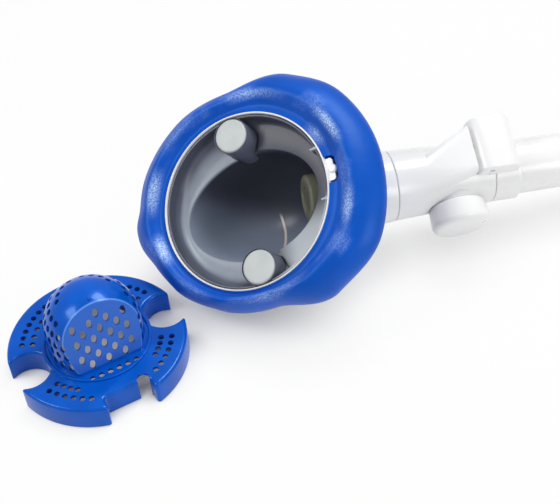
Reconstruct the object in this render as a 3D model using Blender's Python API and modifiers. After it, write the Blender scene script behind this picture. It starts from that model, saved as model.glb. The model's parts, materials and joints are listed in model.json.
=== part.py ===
"""Manual pool vacuum head on the lower section of its pole, with its strainer lifted out.

Units are metres and +Z is up. Three frames carry the pieces:
  pole frame   x runs along the pole away from the mouth, z faces the latch side
  mouth frame  z runs out of the mouth, x points to the heel, where the neck leaves
  strainer     z is up and x points to the strainer's heel notch
"""
import math

import bmesh
import bpy
from mathutils import Matrix, Vector

# ---- driving sizes -------------------------------------------------------------------------
GAP = 0.0003            # running and seating gap between neighbouring pieces
NECK_ANGLE = math.radians(33.0)     # between the pole's axis and the plane of the mouth
MOUTH_RISE = 0.0165     # from the pole's axis to the centre of the mouth, along the mouth's axis

# how the head lies on the floor
ROLL = math.radians(27.5)
PITCH = math.radians(4.6)

# head shell
RIM_RADIUS = 0.052
SHELL_WALL = 0.0015
BELL_STRAIGHT = 0.022   # straight part of the bell behind the rim
BELL_DEPTH = 0.0655
SPOUT_RADIUS = 0.0208
SPOUT_FLARE = 0.0022
SPOUT_START = 0.040     # places along the pole's axis
SPOUT_END = 0.078
TAB_HALF_WIDTH = 0.0080
TAB_REACH = 0.0046
TAB_THICKNESS = 0.0030
TAB_DROP = 0.0015
TAB_BUMP = 0.0032

# columns beside the bowl
POST_INSET = 0.0115     # from the rim to a column's axis
POST_SPREAD = RIM_RADIUS - POST_INSET
POST_RADIUS = 0.0095
POST_LENGTH = 0.0240

# chamber liner
LINER_WALL = 0.0014
LINER_SLACK = 0.0004    # between the liner and the shell
LEDGE_DEPTH = 0.015
LEDGE_THICKNESS = 0.0025
BOWL_WALL = 0.0018
BOWL_END_ROOM = 0.0120  # from the rim to the end of the oval bowl
BOWL_FLOOR_ROOM = 0.0017    # between the bowl's bottom and the bell
BOWL_LENGTH = RIM_RADIUS - BOWL_END_ROOM
BOWL_WIDTH = POST_SPREAD - POST_RADIUS      # the bowl's sides meet the columns
BOWL_DEPTH = BELL_DEPTH - SHELL_WALL - LEDGE_DEPTH - BOWL_WALL - BOWL_FLOOR_ROOM
RIB_SPREAD = 0.0148
RIB_REACH = 0.0046
RIB_THICKNESS = 0.0012
RIB_DROP = 0.0008
OUTLET_START = 0.0360
OUTLET_BORE = 0.0137
OUTLET_WALL = 0.0015
OUTLET_END = 0.0570

# caps and screws of the columns
POST_BORE = 0.0021
POST_POCKET = 0.0055
POST_FLOOR = 0.0045
CAP_THICKNESS = 0.0020
CAP_RADIUS = 0.0091
BOSS_RADIUS = 0.0060
SCREW_SHANK = 0.0018
SCREW_HEAD = 0.0038
SCREW_HEAD_HEIGHT = 0.0024
SCREW_GRIP = 0.0090     # length of shank below the column

# bumper: stations round half of the mouth, from the heel to the toe
BUMPER_STATIONS = (0.0, 35.0, 60.0, 90.0, 135.0, 165.0, 180.0)       # degrees
BUMPER_WIDTH = (0.0260, 0.0265, 0.0235, 0.0135, 0.0128, 0.0132, 0.0160)    # out from the rim
BUMPER_DEPTH = (0.0195, 0.0215, 0.0265, 0.0200, 0.0145, 0.0135, 0.0125)
BUMPER_CREST = 0.0022   # how far the crest stands proud of the mouth
BUMPER_SLACK = 0.0003
BUMPER_TURNS = 40
RELIEF_HALF_WIDTH = 0.0092
RELIEF_REACH = 0.0072

# valve
VALVE_FACE = 0.0285     # place of the puck's face along the pole's axis
PUCK_RADIUS = 0.0140
PUCK_THICKNESS = 0.0062
PUCK_SLOT_LENGTH = 0.0150
PUCK_SLOT_WIDTH = 0.0040
PUCK_LIP = 0.0012
HOUSING_BORE = 0.0112
HOUSING_END = 0.0600
FLAP_RADIUS = 0.0086
FLAP_THICKNESS = 0.0014
FLAP_PLACE = 0.0400
FLAP_PIN_HEIGHT = 0.0082
FLAP_PIN_RADIUS = 0.0007
FLAP_BARREL_WALL = 0.0007
FLAP_BARREL_HALF = 0.0034

# neck
NECK_RADIUS = 0.0184
NECK_TAPER_END = 0.130
NECK_END = 0.1373
NECK_BORE = 0.0135
SPIGOT_RADIUS = 0.0168
SPIGOT_START = 0.0525
SPIGOT_BORE_DEPTH = 0.0090
POLE_STOP = 0.1215
SEAL_WIRE = 0.0006
NECK_SEAL_PLACE = 0.0660
POLE_SEAL_PLACE = 0.1270
RAMP_START = 0.098
RAMP_FOOT_LOW = math.radians(-48.0)   # angles round the neck from the latch side
RAMP_FOOT_HIGH = math.radians(26.0)

# end collar
COLLAR_RADIUS = 0.0182
COLLAR_END = 0.1533
COLLAR_CHAMFER = 0.0008
LAP_RADIUS = 0.0172
LAP_LENGTH = 0.0030

# latch lever
LEVER_START = 0.1258
LEVER_LENGTH = 0.0258
LEVER_LOW = -0.0085     # across the pole, towards the knob side
LEVER_HIGH = 0.0245
LEVER_FACE = 0.0270     # height of the lever's face over the pole's axis
LEVER_BASE = 0.0030
LEVER_ROUND = 0.0085
LEVER_GAP = 0.0011
LATCH_PIN_PLACE = 0.1335
LATCH_PIN_HEIGHT = 0.0222
LATCH_PIN_RADIUS = 0.0012
LUG_WIDTH = 0.0060
LUG_LENGTH = 0.0056
TOOTH_PLACE = 0.1465
TOOTH_LENGTH = 0.0040
TOOTH_WIDTH = 0.0050
TOOTH_TIP = 0.0150
LATCH_SPRING_PLACE = 0.1284
LATCH_SPRING_RADIUS = 0.0016
LATCH_SPRING_WIRE = 0.0003
LATCH_SPRING_TURNS = 4

# side knob
KNOB_PLACE = 0.1148
KNOB_RADIUS = 0.0170
KNOB_START = 0.0186     # from the pole's axis
KNOB_LENGTH = 0.0138
KNOB_ROUND = 0.0040
KNOB_STEM = 0.0042
KNOB_CROWN = 0.0006
KNOB_CLIP_THICKNESS = 0.0008
KNOB_CLIP_RIM = 0.0014
KNOB_CLIP_BITE = 0.0010
KNOB_STEM_TAIL = 0.0010

# pole
POLE_RADIUS = 0.0160
POLE_WALL = 0.0014
POLE_END = 0.4300
FERRULE_LENGTH = 0.0160
FERRULE_LIP = 0.0022

# strainer
STRAINER_CLEARANCE = 0.0005     # to the liner's inside, when it is fitted
STRAINER_RADIUS = RIM_RADIUS - SHELL_WALL - LINER_SLACK - LINER_WALL - STRAINER_CLEARANCE
STRAINER_HEIGHT = 0.0147
STRAINER_WALL = 0.0017
STRAINER_EDGE = 0.0018
NOTCH_CLEARANCE = 0.0016    # round the columns
DOME_MARGIN = 0.0017    # between the dome and the skirt's notches
DOME_RADIUS = POST_SPREAD - POST_RADIUS - NOTCH_CLEARANCE - STRAINER_WALL - DOME_MARGIN
DOME_STRAIGHT = 0.0165
DOME_WALL = 0.0015
FACET_INSET = 0.0062
FACET_PLACE = DOME_RADIUS - FACET_INSET
FACET_LEAN = math.radians(15.0)
RING_SPREAD = 0.0042    # from the dome to the ring
RING_RADIUS = DOME_RADIUS + RING_SPREAD
RING_WIDTH = 0.0012
RING_HEIGHT = 0.0010
HEEL_NOTCH_DEPTH = 0.0097
HEEL_NOTCH_PLACE = STRAINER_RADIUS - HEEL_NOTCH_DEPTH
HEEL_NOTCH_HALF_WIDTH = 0.0130
HEEL_NOTCH_CORNER = 0.0025
NUB_RADIUS = 0.0014
NUB_TILT = math.radians(14.0)

# strainer's holes: plate rows are a distance from the plate's edge and sectors of (first
# angle, last angle, count), in degrees from the heel; dome rows are a height over the plate,
# first and last angle from the facet's direction and a count; both are mirrored
HOLE_RADIUS = 0.0015
HOLE_SIDES = 5
PLATE_ROWS = (
    (0.0137, ((42.0, 60.0, 3), (122.0, 168.0, 5))),
    (0.0082, ((30.0, 60.0, 6), (118.0, 170.0, 8))),
)
DOME_ROWS = (
    (0.0060, 62.0, 170.0, 6),
    (0.0125, 70.0, 160.0, 6),
    (0.0195, 62.0, 170.0, 6),
    (0.0265, 72.0, 160.0, 5),
    (0.0330, 92.0, 168.0, 3),
)
FLOOR_HOLES = (-0.0120, -0.0072, -0.0024, 0.0024, 0.0072, 0.0120)
FLOOR_HOLE_PLACE = 0.0045       # in front of the facet's foot
FACET_PITCH = 0.0060
FACET_ROWS = 7
FACET_FIRST_ROW = 0.0045
FACET_ROW_RISE = 0.0056
FACET_MARGIN = 0.0030

# where the strainer lies beside the head: its centre from the mouth's centre, and its heading
STRAINER_TUCK = 0.0058      # the tilted mouth takes up less room than its radius
STRAINER_OFFSET = (STRAINER_TUCK - RIM_RADIUS - STRAINER_RADIUS, -0.0316)
STRAINER_HEADING = math.radians(-74.8)

# facets
ROUND_STEPS = 28
SMALL_STEPS = 12
MEDIUM_STEPS = 20
BOWL_STEPS = 32
KNOB_STEPS = 24

# ---- materials -----------------------------------------------------------------------------
FINISHES = {
    "white_plastic": ((0.86, 0.87, 0.88), 0.25, 0.0),
    "blue_rubber": ((0.012, 0.10, 0.62), 0.42, 0.0),
    "blue_plastic": ((0.010, 0.11, 0.68), 0.22, 0.0),
    "grey_plastic": ((0.13, 0.14, 0.16), 0.38, 0.0),
    "pale_plastic": ((0.62, 0.66, 0.65), 0.35, 0.0),
    "olive_rubber": ((0.20, 0.20, 0.14), 0.45, 0.0),
    "black_rubber": ((0.02, 0.02, 0.02), 0.60, 0.0),
    "steel": ((0.60, 0.60, 0.62), 0.25, 1.0),
    "white_enamel": ((0.84, 0.85, 0.87), 0.30, 0.0),
}

X_AXIS = Vector((1, 0, 0))
Y_AXIS = Vector((0, 1, 0))
Z_AXIS = Vector((0, 0, 1))
ALONG_POLE = Matrix.Rotation(math.radians(90), 4, "Y")      # turns +Z to +X
TO_KNOB = Matrix.Rotation(math.radians(90), 4, "X")         # turns +Z to -Y
TINY = 1e-5


# ---- scene and frames ----------------------------------------------------------------------
def clear_scene():
    for thing in list(bpy.data.objects):
        bpy.data.objects.remove(thing, do_unlink=True)


def new_collection(name):
    collection = bpy.data.collections.new(name)
    bpy.context.scene.collection.children.link(collection)
    return collection


def new_frame(name, matrix, parent=None):
    frame = bpy.data.objects.new(name, None)
    frame.empty_display_size = 0.02
    HEAD_PARTS.objects.link(frame)
    frame.parent = parent
    frame.matrix_local = matrix
    return frame


def finish_material(name):
    if name in bpy.data.materials:
        return bpy.data.materials[name]
    colour, roughness, metallic = FINISHES[name]
    material = bpy.data.materials.new(name)
    material.use_nodes = True
    shader = material.node_tree.nodes["Principled BSDF"]
    shader.inputs["Base Color"].default_value = (*colour, 1.0)
    shader.inputs["Roughness"].default_value = roughness
    shader.inputs["Metallic"].default_value = metallic
    return material


# ---- shape helpers -------------------------------------------------------------------------
def place_object(name, mesh, frame, matrix=Matrix(), finish=None):
    """Put a mesh in a frame: a part when it has a finish, otherwise a cutter."""
    thing = bpy.data.objects.new(name, mesh)
    thing.parent = frame
    thing.matrix_local = matrix
    if finish is None:
        CUTTERS.objects.link(thing)
        thing.hide_render = True
        thing.display_type = "WIRE"
    else:
        HEAD_PARTS.objects.link(thing)
        mesh.materials.append(finish_material(finish))
        mesh.shade_smooth()
        mesh.set_sharp_from_angle(angle=math.radians(35))
    return thing


def mesh_from(bm, name):
    mesh = bpy.data.meshes.new(name)
    bm.normal_update()
    bm.to_mesh(mesh)
    bm.free()
    return mesh


def cylinder(name, radius, low, high, frame, matrix=Matrix(), finish=None, steps=ROUND_STEPS,
             top_radius=None):
    """A round bar, or a cone, from z = low to z = high of its own axis."""
    bm = bmesh.new()
    top = radius if top_radius is None else top_radius
    bmesh.ops.create_cone(bm, cap_ends=True, segments=steps, radius1=radius, radius2=top,
                          depth=high - low,
                          matrix=Matrix.Translation((0, 0, (low + high) / 2)))
    return place_object(name, mesh_from(bm, name), frame, matrix, finish)


def box(name, low, high, frame, matrix=Matrix(), finish=None, round_edges=None):
    """A box between two corners; round_edges is (direction, radius) of the edges to round."""
    bm = bmesh.new()
    bmesh.ops.create_cube(bm, size=1.0)
    low = Vector(low)
    high = Vector(high)
    bmesh.ops.scale(bm, vec=high - low, verts=bm.verts)
    bmesh.ops.translate(bm, vec=(low + high) / 2, verts=bm.verts)
    if round_edges:
        direction, radius = round_edges
        edges = []
        for edge in bm.edges:
            run = (edge.verts[1].co - edge.verts[0].co).normalized()
            if abs(run.dot(direction)) > 0.9:
                edges.append(edge)
        bmesh.ops.bevel(bm, geom=edges, offset=radius, segments=4, profile=0.5, affect="EDGES")
    return place_object(name, mesh_from(bm, name), frame, matrix, finish)


def turned(name, outline, frame, matrix=Matrix(), finish=None, steps=ROUND_STEPS, ring=False):
    """A turned piece: outline is (radius, height) pairs that run down the outer side."""
    bm = bmesh.new()
    corners = [bm.verts.new((radius, 0, height)) for radius, height in outline]
    for first, second in zip(corners, corners[1:]):
        bm.edges.new((first, second))
    if ring:
        bm.edges.new((corners[-1], corners[0]))
    thing = place_object(name, mesh_from(bm, name), frame, matrix, finish)
    screw = thing.modifiers.new("turn", "SCREW")
    screw.axis = "Z"
    screw.steps = steps
    screw.render_steps = steps
    screw.use_merge_vertices = True
    screw.merge_threshold = TINY
    return thing


def sleeve(name, outer, inner, low, high, frame, matrix=Matrix(), finish=None,
           steps=ROUND_STEPS):
    outline = [(outer, high), (outer, low), (inner, low), (inner, high)]
    return turned(name, outline, frame, matrix, finish, steps, ring=True)


def seal_ring(name, radius, wire, frame, matrix, finish, steps=MEDIUM_STEPS, sides=6):
    """A round-section ring about its own z axis."""
    outline = []
    for k in range(sides):
        angle = -2 * math.pi * k / sides
        outline.append((radius + wire * math.cos(angle), wire * math.sin(angle)))
    return turned(name, outline, frame, matrix, finish, steps, ring=True)


def combine(target, tool, operation):
    boolean = target.modifiers.new(tool.name, "BOOLEAN")
    boolean.operation = operation
    boolean.solver = "EXACT"
    boolean.object = tool


def join(target, *tools):
    for tool in tools:
        combine(target, tool, "UNION")


def cut(target, *tools):
    for tool in tools:
        combine(target, tool, "DIFFERENCE")


def hull(name, points, frame, matrix=Matrix(), finish=None):
    bm = bmesh.new()
    for point in points:
        bm.verts.new(point)
    result = bmesh.ops.convex_hull(bm, input=bm.verts)
    loose = [item for item in result["geom_interior"] if isinstance(item, bmesh.types.BMVert)]
    bmesh.ops.delete(bm, geom=loose, context="VERTS")
    return place_object(name, mesh_from(bm, name), frame, matrix, finish)


def arc_points(centre, radius, start, end, count):
    """Points on an arc in (radius, height) or (x, y), by angle in degrees."""
    points = []
    for k in range(count + 1):
        angle = math.radians(start + (end - start) * k / count)
        points.append((centre[0] + radius * math.cos(angle),
                       centre[1] + radius * math.sin(angle)))
    return points


def smooth_between(places, values, place):
    """Value at a place, easing from one station to the next."""
    for k in range(len(places) - 1):
        if place <= places[k + 1]:
            share = (place - places[k]) / (places[k + 1] - places[k])
            ease = share * share * (3 - 2 * share)
            return values[k] + (values[k + 1] - values[k]) * ease
    return values[-1]


# ---- head shell ----------------------------------------------------------------------------
def bell_outline(radius, depth, inset):
    """Quarter oval of the bell from its straight part down to the axis."""
    points = []
    count = 7
    for k in range(count + 1):
        angle = math.radians(90.0 * k / count)
        height = -BELL_STRAIGHT - (depth - BELL_STRAIGHT) * math.sin(angle)
        points.append((max(0.0, (radius - inset) * math.cos(angle)), height))
    return points


def build_head_shell(mouth, pole):
    outer = [(0.0, 0.0), (RIM_RADIUS, 0.0)] + bell_outline(RIM_RADIUS, BELL_DEPTH, 0.0)
    shell = turned("head_shell", outer, mouth, finish="white_plastic")
    spout = cylinder("spout", SPOUT_RADIUS + SPOUT_FLARE, SPOUT_START, SPOUT_END, pole,
                     ALONG_POLE, top_radius=SPOUT_RADIUS)
    tab_out = RIM_RADIUS + TAB_REACH
    tab = box("tab", (RIM_RADIUS - SHELL_WALL, -TAB_HALF_WIDTH, -TAB_DROP - TAB_THICKNESS),
              (tab_out, TAB_HALF_WIDTH, -TAB_DROP), mouth, round_edges=(Z_AXIS, 0.0015))
    bump = cylinder("tab_bump", TAB_BUMP, -TAB_DROP - TAB_THICKNESS * 0.9,
                    -TAB_DROP + 0.0007, mouth, Matrix.Translation((tab_out - 0.001, 0, 0)),
                    steps=SMALL_STEPS)
    join(shell, spout, tab, bump)
    hollow_depth = BELL_DEPTH - SHELL_WALL
    hollow_outline = [(0.0, 0.001), (RIM_RADIUS - SHELL_WALL, 0.001)]
    hollow_outline += bell_outline(RIM_RADIUS, hollow_depth, SHELL_WALL)
    hollow = turned("bell_hollow", hollow_outline, mouth)
    boss_top = -POST_LENGTH - GAP
    for name, side in (("upper", 1), ("lower", -1)):
        boss = sleeve("boss_" + name, BOSS_RADIUS, SCREW_SHANK + GAP, -BELL_DEPTH, boss_top,
                      mouth, Matrix.Translation((0, side * POST_SPREAD, 0)),
                      steps=SMALL_STEPS)
        cut(hollow, boss)
    bore = cylinder("spout_bore", SPIGOT_RADIUS + GAP, SPOUT_START - 0.012,
                    SPOUT_END + 0.001, pole, ALONG_POLE)
    cut(shell, hollow, bore)
    return shell


# ---- chamber liner -------------------------------------------------------------------------
def ellipsoid(name, length, width, depth, top, frame, steps=ROUND_STEPS):
    """Lower half of an oval bowl whose flat top lies at the given height."""
    bm = bmesh.new()
    bmesh.ops.create_uvsphere(bm, u_segments=steps, v_segments=12, radius=1.0)
    upper = [vertex for vertex in bm.verts if vertex.co.z > TINY]
    bmesh.ops.delete(bm, geom=upper, context="VERTS")
    rim = [edge for edge in bm.edges if edge.is_boundary]
    bmesh.ops.edgeloop_fill(bm, edges=rim)
    bmesh.ops.scale(bm, vec=(length, width, depth), verts=bm.verts)
    bmesh.ops.translate(bm, vec=(0, 0, top), verts=bm.verts)
    bmesh.ops.recalc_face_normals(bm, faces=bm.faces)
    return place_object(name, mesh_from(bm, name), frame)


def build_liner(mouth, pole):
    radius = RIM_RADIUS - SHELL_WALL - LINER_SLACK
    inner = radius - LINER_WALL
    ledge_low = -LEDGE_DEPTH - LEDGE_THICKNESS
    outline = [(0, 0), (radius, 0), (radius, ledge_low), (0, ledge_low)]
    liner = turned("chamber_liner", outline, mouth, finish="grey_plastic")
    bowl = ellipsoid("bowl_outside", BOWL_LENGTH + BOWL_WALL, BOWL_WIDTH + BOWL_WALL,
                     BOWL_DEPTH + BOWL_WALL, -LEDGE_DEPTH - 0.0005, mouth)
    outlet = cylinder("outlet", OUTLET_BORE + OUTLET_WALL, OUTLET_START, OUTLET_END, pole,
                      ALONG_POLE)
    join(liner, bowl, outlet)
    bowl_inside = ellipsoid("bowl_inside", BOWL_LENGTH, BOWL_WIDTH, BOWL_DEPTH,
                            -LEDGE_DEPTH + 0.0005, mouth, BOWL_STEPS)
    recess = cylinder("recess", inner, -LEDGE_DEPTH, 0.001, mouth)
    for name, side in (("left", 1), ("right", -1)):
        low_y = side * RIB_SPREAD - RIB_THICKNESS / 2
        rib = box("rib_" + name, (inner - RIB_REACH, low_y, -LEDGE_DEPTH - 0.001),
                  (inner + 0.002, low_y + RIB_THICKNESS, -RIB_DROP), mouth)
        cut(recess, rib)
    cut(liner, recess, bowl_inside)
    for name, side in (("upper", 1), ("lower", -1)):
        pocket = cylinder("pocket_" + name, POST_RADIUS + GAP, -POST_LENGTH - 2 * GAP, 0.001,
                          mouth, Matrix.Translation((0, side * POST_SPREAD, 0)))
        cut(liner, pocket)
    bore = cylinder("outlet_bore", OUTLET_BORE, OUTLET_START - 0.011, OUTLET_END + 0.001, pole,
                    ALONG_POLE)
    cut(liner, bore)
    return liner


# ---- columns, caps and screws --------------------------------------------------------------
def build_posts(mouth):
    for name, side in (("upper", 1), ("lower", -1)):
        stand = Matrix.Translation((0, side * POST_SPREAD, 0))
        seat = -CAP_THICKNESS - GAP
        floor = -POST_LENGTH + POST_FLOOR
        outline = [(CAP_RADIUS + GAP, 0), (POST_RADIUS, 0), (POST_RADIUS, -POST_LENGTH),
                   (POST_BORE, -POST_LENGTH), (POST_BORE, floor), (POST_POCKET, floor),
                   (POST_POCKET, seat), (CAP_RADIUS + GAP, seat)]
        turned("post_" + name, outline, mouth, stand, "grey_plastic", MEDIUM_STEPS,
               ring=True)
        cap = [(0, 0), (CAP_RADIUS - 0.0005, 0), (CAP_RADIUS, -0.0004),
               (CAP_RADIUS, -CAP_THICKNESS), (0, -CAP_THICKNESS)]
        turned("post_cap_" + name, cap, mouth, stand, "pale_plastic", MEDIUM_STEPS)
        head = floor + GAP
        tip = -POST_LENGTH - SCREW_GRIP
        screw = [(0, head + SCREW_HEAD_HEIGHT), (SCREW_HEAD * 0.7, head + SCREW_HEAD_HEIGHT),
                 (SCREW_HEAD, head + SCREW_HEAD_HEIGHT * 0.4), (SCREW_HEAD, head),
                 (SCREW_SHANK, head), (SCREW_SHANK, tip), (0, tip)]
        turned("post_screw_" + name, screw, mouth, stand, "steel", SMALL_STEPS)


# ---- bumper --------------------------------------------------------------------------------
def bumper_section(turn):
    """Closed section of the bumper at an angle from the heel, as (radius, height) pairs."""
    angle = abs((math.degrees(turn) + 180.0) % 360.0 - 180.0)
    inner = RIM_RADIUS + BUMPER_SLACK
    width = smooth_between(BUMPER_STATIONS, BUMPER_WIDTH, angle) - BUMPER_SLACK
    depth = smooth_between(BUMPER_STATIONS, BUMPER_DEPTH, angle)
    lip = -0.0008
    return [
        (inner, lip),
        (inner + 0.14 * width, lip - 0.0006),
        (inner + 0.30 * width, 0.35 * BUMPER_CREST),
        (inner + 0.48 * width, BUMPER_CREST),
        (inner + 0.68 * width, 0.40 * BUMPER_CREST),
        (inner + 0.86 * width, -0.16 * depth),
        (inner + 0.97 * width, -0.34 * depth),
        (inner + width, -0.54 * depth),
        (inner + 0.93 * width, -0.75 * depth),
        (inner + 0.74 * width, -0.91 * depth),
        (inner + 0.45 * width, -0.98 * depth),
        (inner + 0.18 * width, -depth),
        (inner, -0.97 * depth),
    ]


def build_bumper(mouth):
    bm = bmesh.new()
    rings = []
    for k in range(BUMPER_TURNS):
        turn = 2 * math.pi * k / BUMPER_TURNS
        ring = []
        for radius, height in bumper_section(turn):
            ring.append(bm.verts.new((radius * math.cos(turn), radius * math.sin(turn), height)))
        rings.append(ring)
    for k, ring in enumerate(rings):
        following = rings[(k + 1) % BUMPER_TURNS]
        for j in range(len(ring)):
            n = (j + 1) % len(ring)
            bm.faces.new((ring[j], ring[n], following[n], following[j]))
    bmesh.ops.recalc_face_normals(bm, faces=bm.faces)
    bumper = place_object("bumper", mesh_from(bm, "bumper"), mouth, finish="blue_rubber")
    relief = box("relief", (RIM_RADIUS - 0.004, -RELIEF_HALF_WIDTH, -0.0065),
                 (RIM_RADIUS + RELIEF_REACH, RELIEF_HALF_WIDTH, 0.006), mouth,
                 round_edges=(Z_AXIS, 0.0035))
    cut(bumper, relief)
    return bumper


# ---- valve ---------------------------------------------------------------------------------
def build_valve(pole):
    puck_back = VALVE_FACE + PUCK_THICKNESS
    spigot = HOUSING_BORE - GAP
    spigot_end = puck_back + 0.0030
    outline = [(0, spigot_end), (spigot, spigot_end), (spigot, puck_back),
               (PUCK_RADIUS, puck_back), (PUCK_RADIUS, VALVE_FACE + PUCK_LIP),
               (PUCK_RADIUS - PUCK_LIP, VALVE_FACE), (PUCK_RADIUS - 3 * PUCK_LIP, VALVE_FACE),
               (PUCK_RADIUS - 3.5 * PUCK_LIP, VALVE_FACE + 0.5 * PUCK_LIP),
               (0, VALVE_FACE + 0.5 * PUCK_LIP)]
    seat = turned("valve_seat", outline, pole, ALONG_POLE, "olive_rubber", MEDIUM_STEPS)
    slot = box("seat_slot", (VALVE_FACE - 0.001, -PUCK_SLOT_LENGTH / 2, -PUCK_SLOT_WIDTH / 2),
               (spigot_end + 0.001, PUCK_SLOT_LENGTH / 2, PUCK_SLOT_WIDTH / 2), pole,
               round_edges=(X_AXIS, PUCK_SLOT_WIDTH * 0.45))
    cut(seat, slot)
    housing = sleeve("valve_housing", OUTLET_BORE - GAP, HOUSING_BORE, puck_back + GAP,
                     HOUSING_END, pole, ALONG_POLE, "grey_plastic", MEDIUM_STEPS)
    pin_hole = cylinder("pin_hole", FLAP_PIN_RADIUS + GAP, -0.02, 0.02, pole,
                        flap_pin_matrix(), steps=SMALL_STEPS)
    cut(housing, pin_hole)
    reach = math.sqrt((OUTLET_BORE - GAP) ** 2 - FLAP_PIN_HEIGHT ** 2) - 0.0003
    cylinder("valve_pin", FLAP_PIN_RADIUS, -reach, reach, pole, flap_pin_matrix(), "steel", 12)
    build_flap(pole)


def flap_pin_matrix():
    return Matrix.Translation((FLAP_PLACE, 0, FLAP_PIN_HEIGHT)) @ TO_KNOB


def build_flap(pole):
    """The flap's own frame sits on its pin, with x along the pole."""
    hinge = new_frame("flap_hinge", Matrix.Translation((FLAP_PLACE, 0, FLAP_PIN_HEIGHT)), pole)
    half = FLAP_THICKNESS / 2
    hang = Matrix.Translation((0, 0, -FLAP_PIN_HEIGHT)) @ ALONG_POLE
    flap = cylinder("valve_flap", FLAP_RADIUS, -half, half, hinge, hang, "black_rubber",
                    MEDIUM_STEPS)
    barrel = cylinder("flap_barrel", FLAP_PIN_RADIUS + GAP + FLAP_BARREL_WALL,
                      -FLAP_BARREL_HALF, FLAP_BARREL_HALF, hinge, TO_KNOB, steps=12)
    bore = cylinder("flap_bore", FLAP_PIN_RADIUS + GAP, -0.02, 0.02, hinge, TO_KNOB, steps=12)
    join(flap, barrel)
    cut(flap, bore)


# ---- neck ----------------------------------------------------------------------------------
def around_neck(place, angle, radius):
    """Point on a circle round the pole's axis; the angle runs from the latch side."""
    return (place, radius * math.sin(angle), radius * math.cos(angle))


def lever_end_outline(place, margin):
    """Outline of the ramp's end face, which backs the lever."""
    face = LEVER_FACE - margin
    low = LEVER_LOW + margin
    high = LEVER_HIGH - 0.0035
    return [(place, low, 0.0165), (place, low, face - 0.002), (place, low + 0.003, face),
            (place, high - 0.004, face), (place, high, face - 0.004), (place, high, 0.010),
            (place, 0.0165, 0.002)]


def neck_hollow(pole, socket):
    """Everything that is bored out of the neck along its axis, as one turned cutter."""
    spigot_inner = OUTLET_BORE + OUTLET_WALL + GAP
    bore_step = SPIGOT_START + SPIGOT_BORE_DEPTH
    groove = socket + 2 * SEAL_WIRE + GAP
    groove_half = SEAL_WIRE + GAP
    outline = [
        (0, COLLAR_END), (socket, COLLAR_END),
        (socket, POLE_SEAL_PLACE + groove_half), (groove, POLE_SEAL_PLACE + groove_half),
        (groove, POLE_SEAL_PLACE - groove_half), (socket, POLE_SEAL_PLACE - groove_half),
        (socket, POLE_STOP - GAP), (NECK_BORE, POLE_STOP - GAP),
        (NECK_BORE, bore_step + 0.001), (spigot_inner, bore_step),
        (spigot_inner, SPIGOT_START - 0.002), (0, SPIGOT_START - 0.002),
    ]
    return turned("neck_hollow", outline, pole, ALONG_POLE)


def neck_ramp(pole):
    """Flared wedge that rises from the neck's side to the back of the lever."""
    foot = []
    count = 8
    for k in range(count + 1):
        angle = RAMP_FOOT_LOW + (RAMP_FOOT_HIGH - RAMP_FOOT_LOW) * k / count
        foot.append(around_neck(RAMP_START, angle, SPOUT_RADIUS - 0.0012))
    deep_radius = NECK_BORE + 0.003
    deep = [around_neck(RAMP_START + 0.004, RAMP_FOOT_LOW, deep_radius),
            around_neck(RAMP_START + 0.004, RAMP_FOOT_HIGH, deep_radius)]
    end_face = lever_end_outline(LEVER_START - LEVER_GAP, 0.0008)
    return hull("ramp", foot + deep + end_face, pole)


def build_neck(pole):
    socket = POLE_RADIUS + GAP
    shoulder = SPOUT_END + GAP
    groove = SPIGOT_RADIUS - 2 * SEAL_WIRE - GAP
    groove_half = SEAL_WIRE + GAP
    outline = [
        (0, NECK_END + LAP_LENGTH), (LAP_RADIUS, NECK_END + LAP_LENGTH),
        (LAP_RADIUS, NECK_END), (NECK_RADIUS, NECK_END), (NECK_RADIUS, NECK_TAPER_END),
        (SPOUT_RADIUS - GAP, shoulder), (SPIGOT_RADIUS, shoulder),
        (SPIGOT_RADIUS, NECK_SEAL_PLACE + groove_half), (groove, NECK_SEAL_PLACE + groove_half),
        (groove, NECK_SEAL_PLACE - groove_half), (SPIGOT_RADIUS, NECK_SEAL_PLACE - groove_half),
        (SPIGOT_RADIUS, SPIGOT_START), (0, SPIGOT_START),
    ]
    neck = turned("neck", outline, pole, ALONG_POLE, "white_plastic")
    lug = box("lug", (LATCH_PIN_PLACE - LUG_LENGTH / 2, lever_middle() - LUG_WIDTH / 2, 0.0120),
              (LATCH_PIN_PLACE + LUG_LENGTH / 2, lever_middle() + LUG_WIDTH / 2,
               LATCH_PIN_HEIGHT + LUG_LENGTH / 2), pole,
              round_edges=(Y_AXIS, LUG_LENGTH * 0.42))
    boss = cylinder("knob_boss", KNOB_RADIUS - 0.0035, NECK_BORE - 0.002, KNOB_START - GAP,
                    pole, knob_matrix())
    pin_hole = cylinder("lug_hole", LATCH_PIN_RADIUS + GAP, -0.03, 0.03, pole,
                        latch_pin_matrix(), steps=SMALL_STEPS)
    stem_hole = cylinder("stem_hole", KNOB_STEM + GAP, 0.005, 0.03, pole, knob_matrix(),
                         steps=MEDIUM_STEPS)
    seal_room = cylinder("knob_seal_room", KNOB_STEM + 2 * (GAP + SEAL_WIRE),
                         KNOB_START - 2 * (GAP + SEAL_WIRE), 0.03, pole, knob_matrix(),
                         steps=MEDIUM_STEPS)
    flat = cylinder("knob_seat", KNOB_RADIUS + 0.001, KNOB_START - GAP, 0.03, pole,
                    knob_matrix())
    join(neck, neck_ramp(pole), lug, boss)
    cut(neck, neck_hollow(pole, socket), pin_hole, flat, stem_hole, seal_room)
    seal_ring("neck_seal", SPIGOT_RADIUS - SEAL_WIRE, SEAL_WIRE, pole,
              Matrix.Translation((NECK_SEAL_PLACE, 0, 0)) @ ALONG_POLE, "black_rubber")
    seal_ring("pole_seal", socket + SEAL_WIRE + GAP / 2, SEAL_WIRE, pole,
              Matrix.Translation((POLE_SEAL_PLACE, 0, 0)) @ ALONG_POLE, "black_rubber")
    return neck


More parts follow.
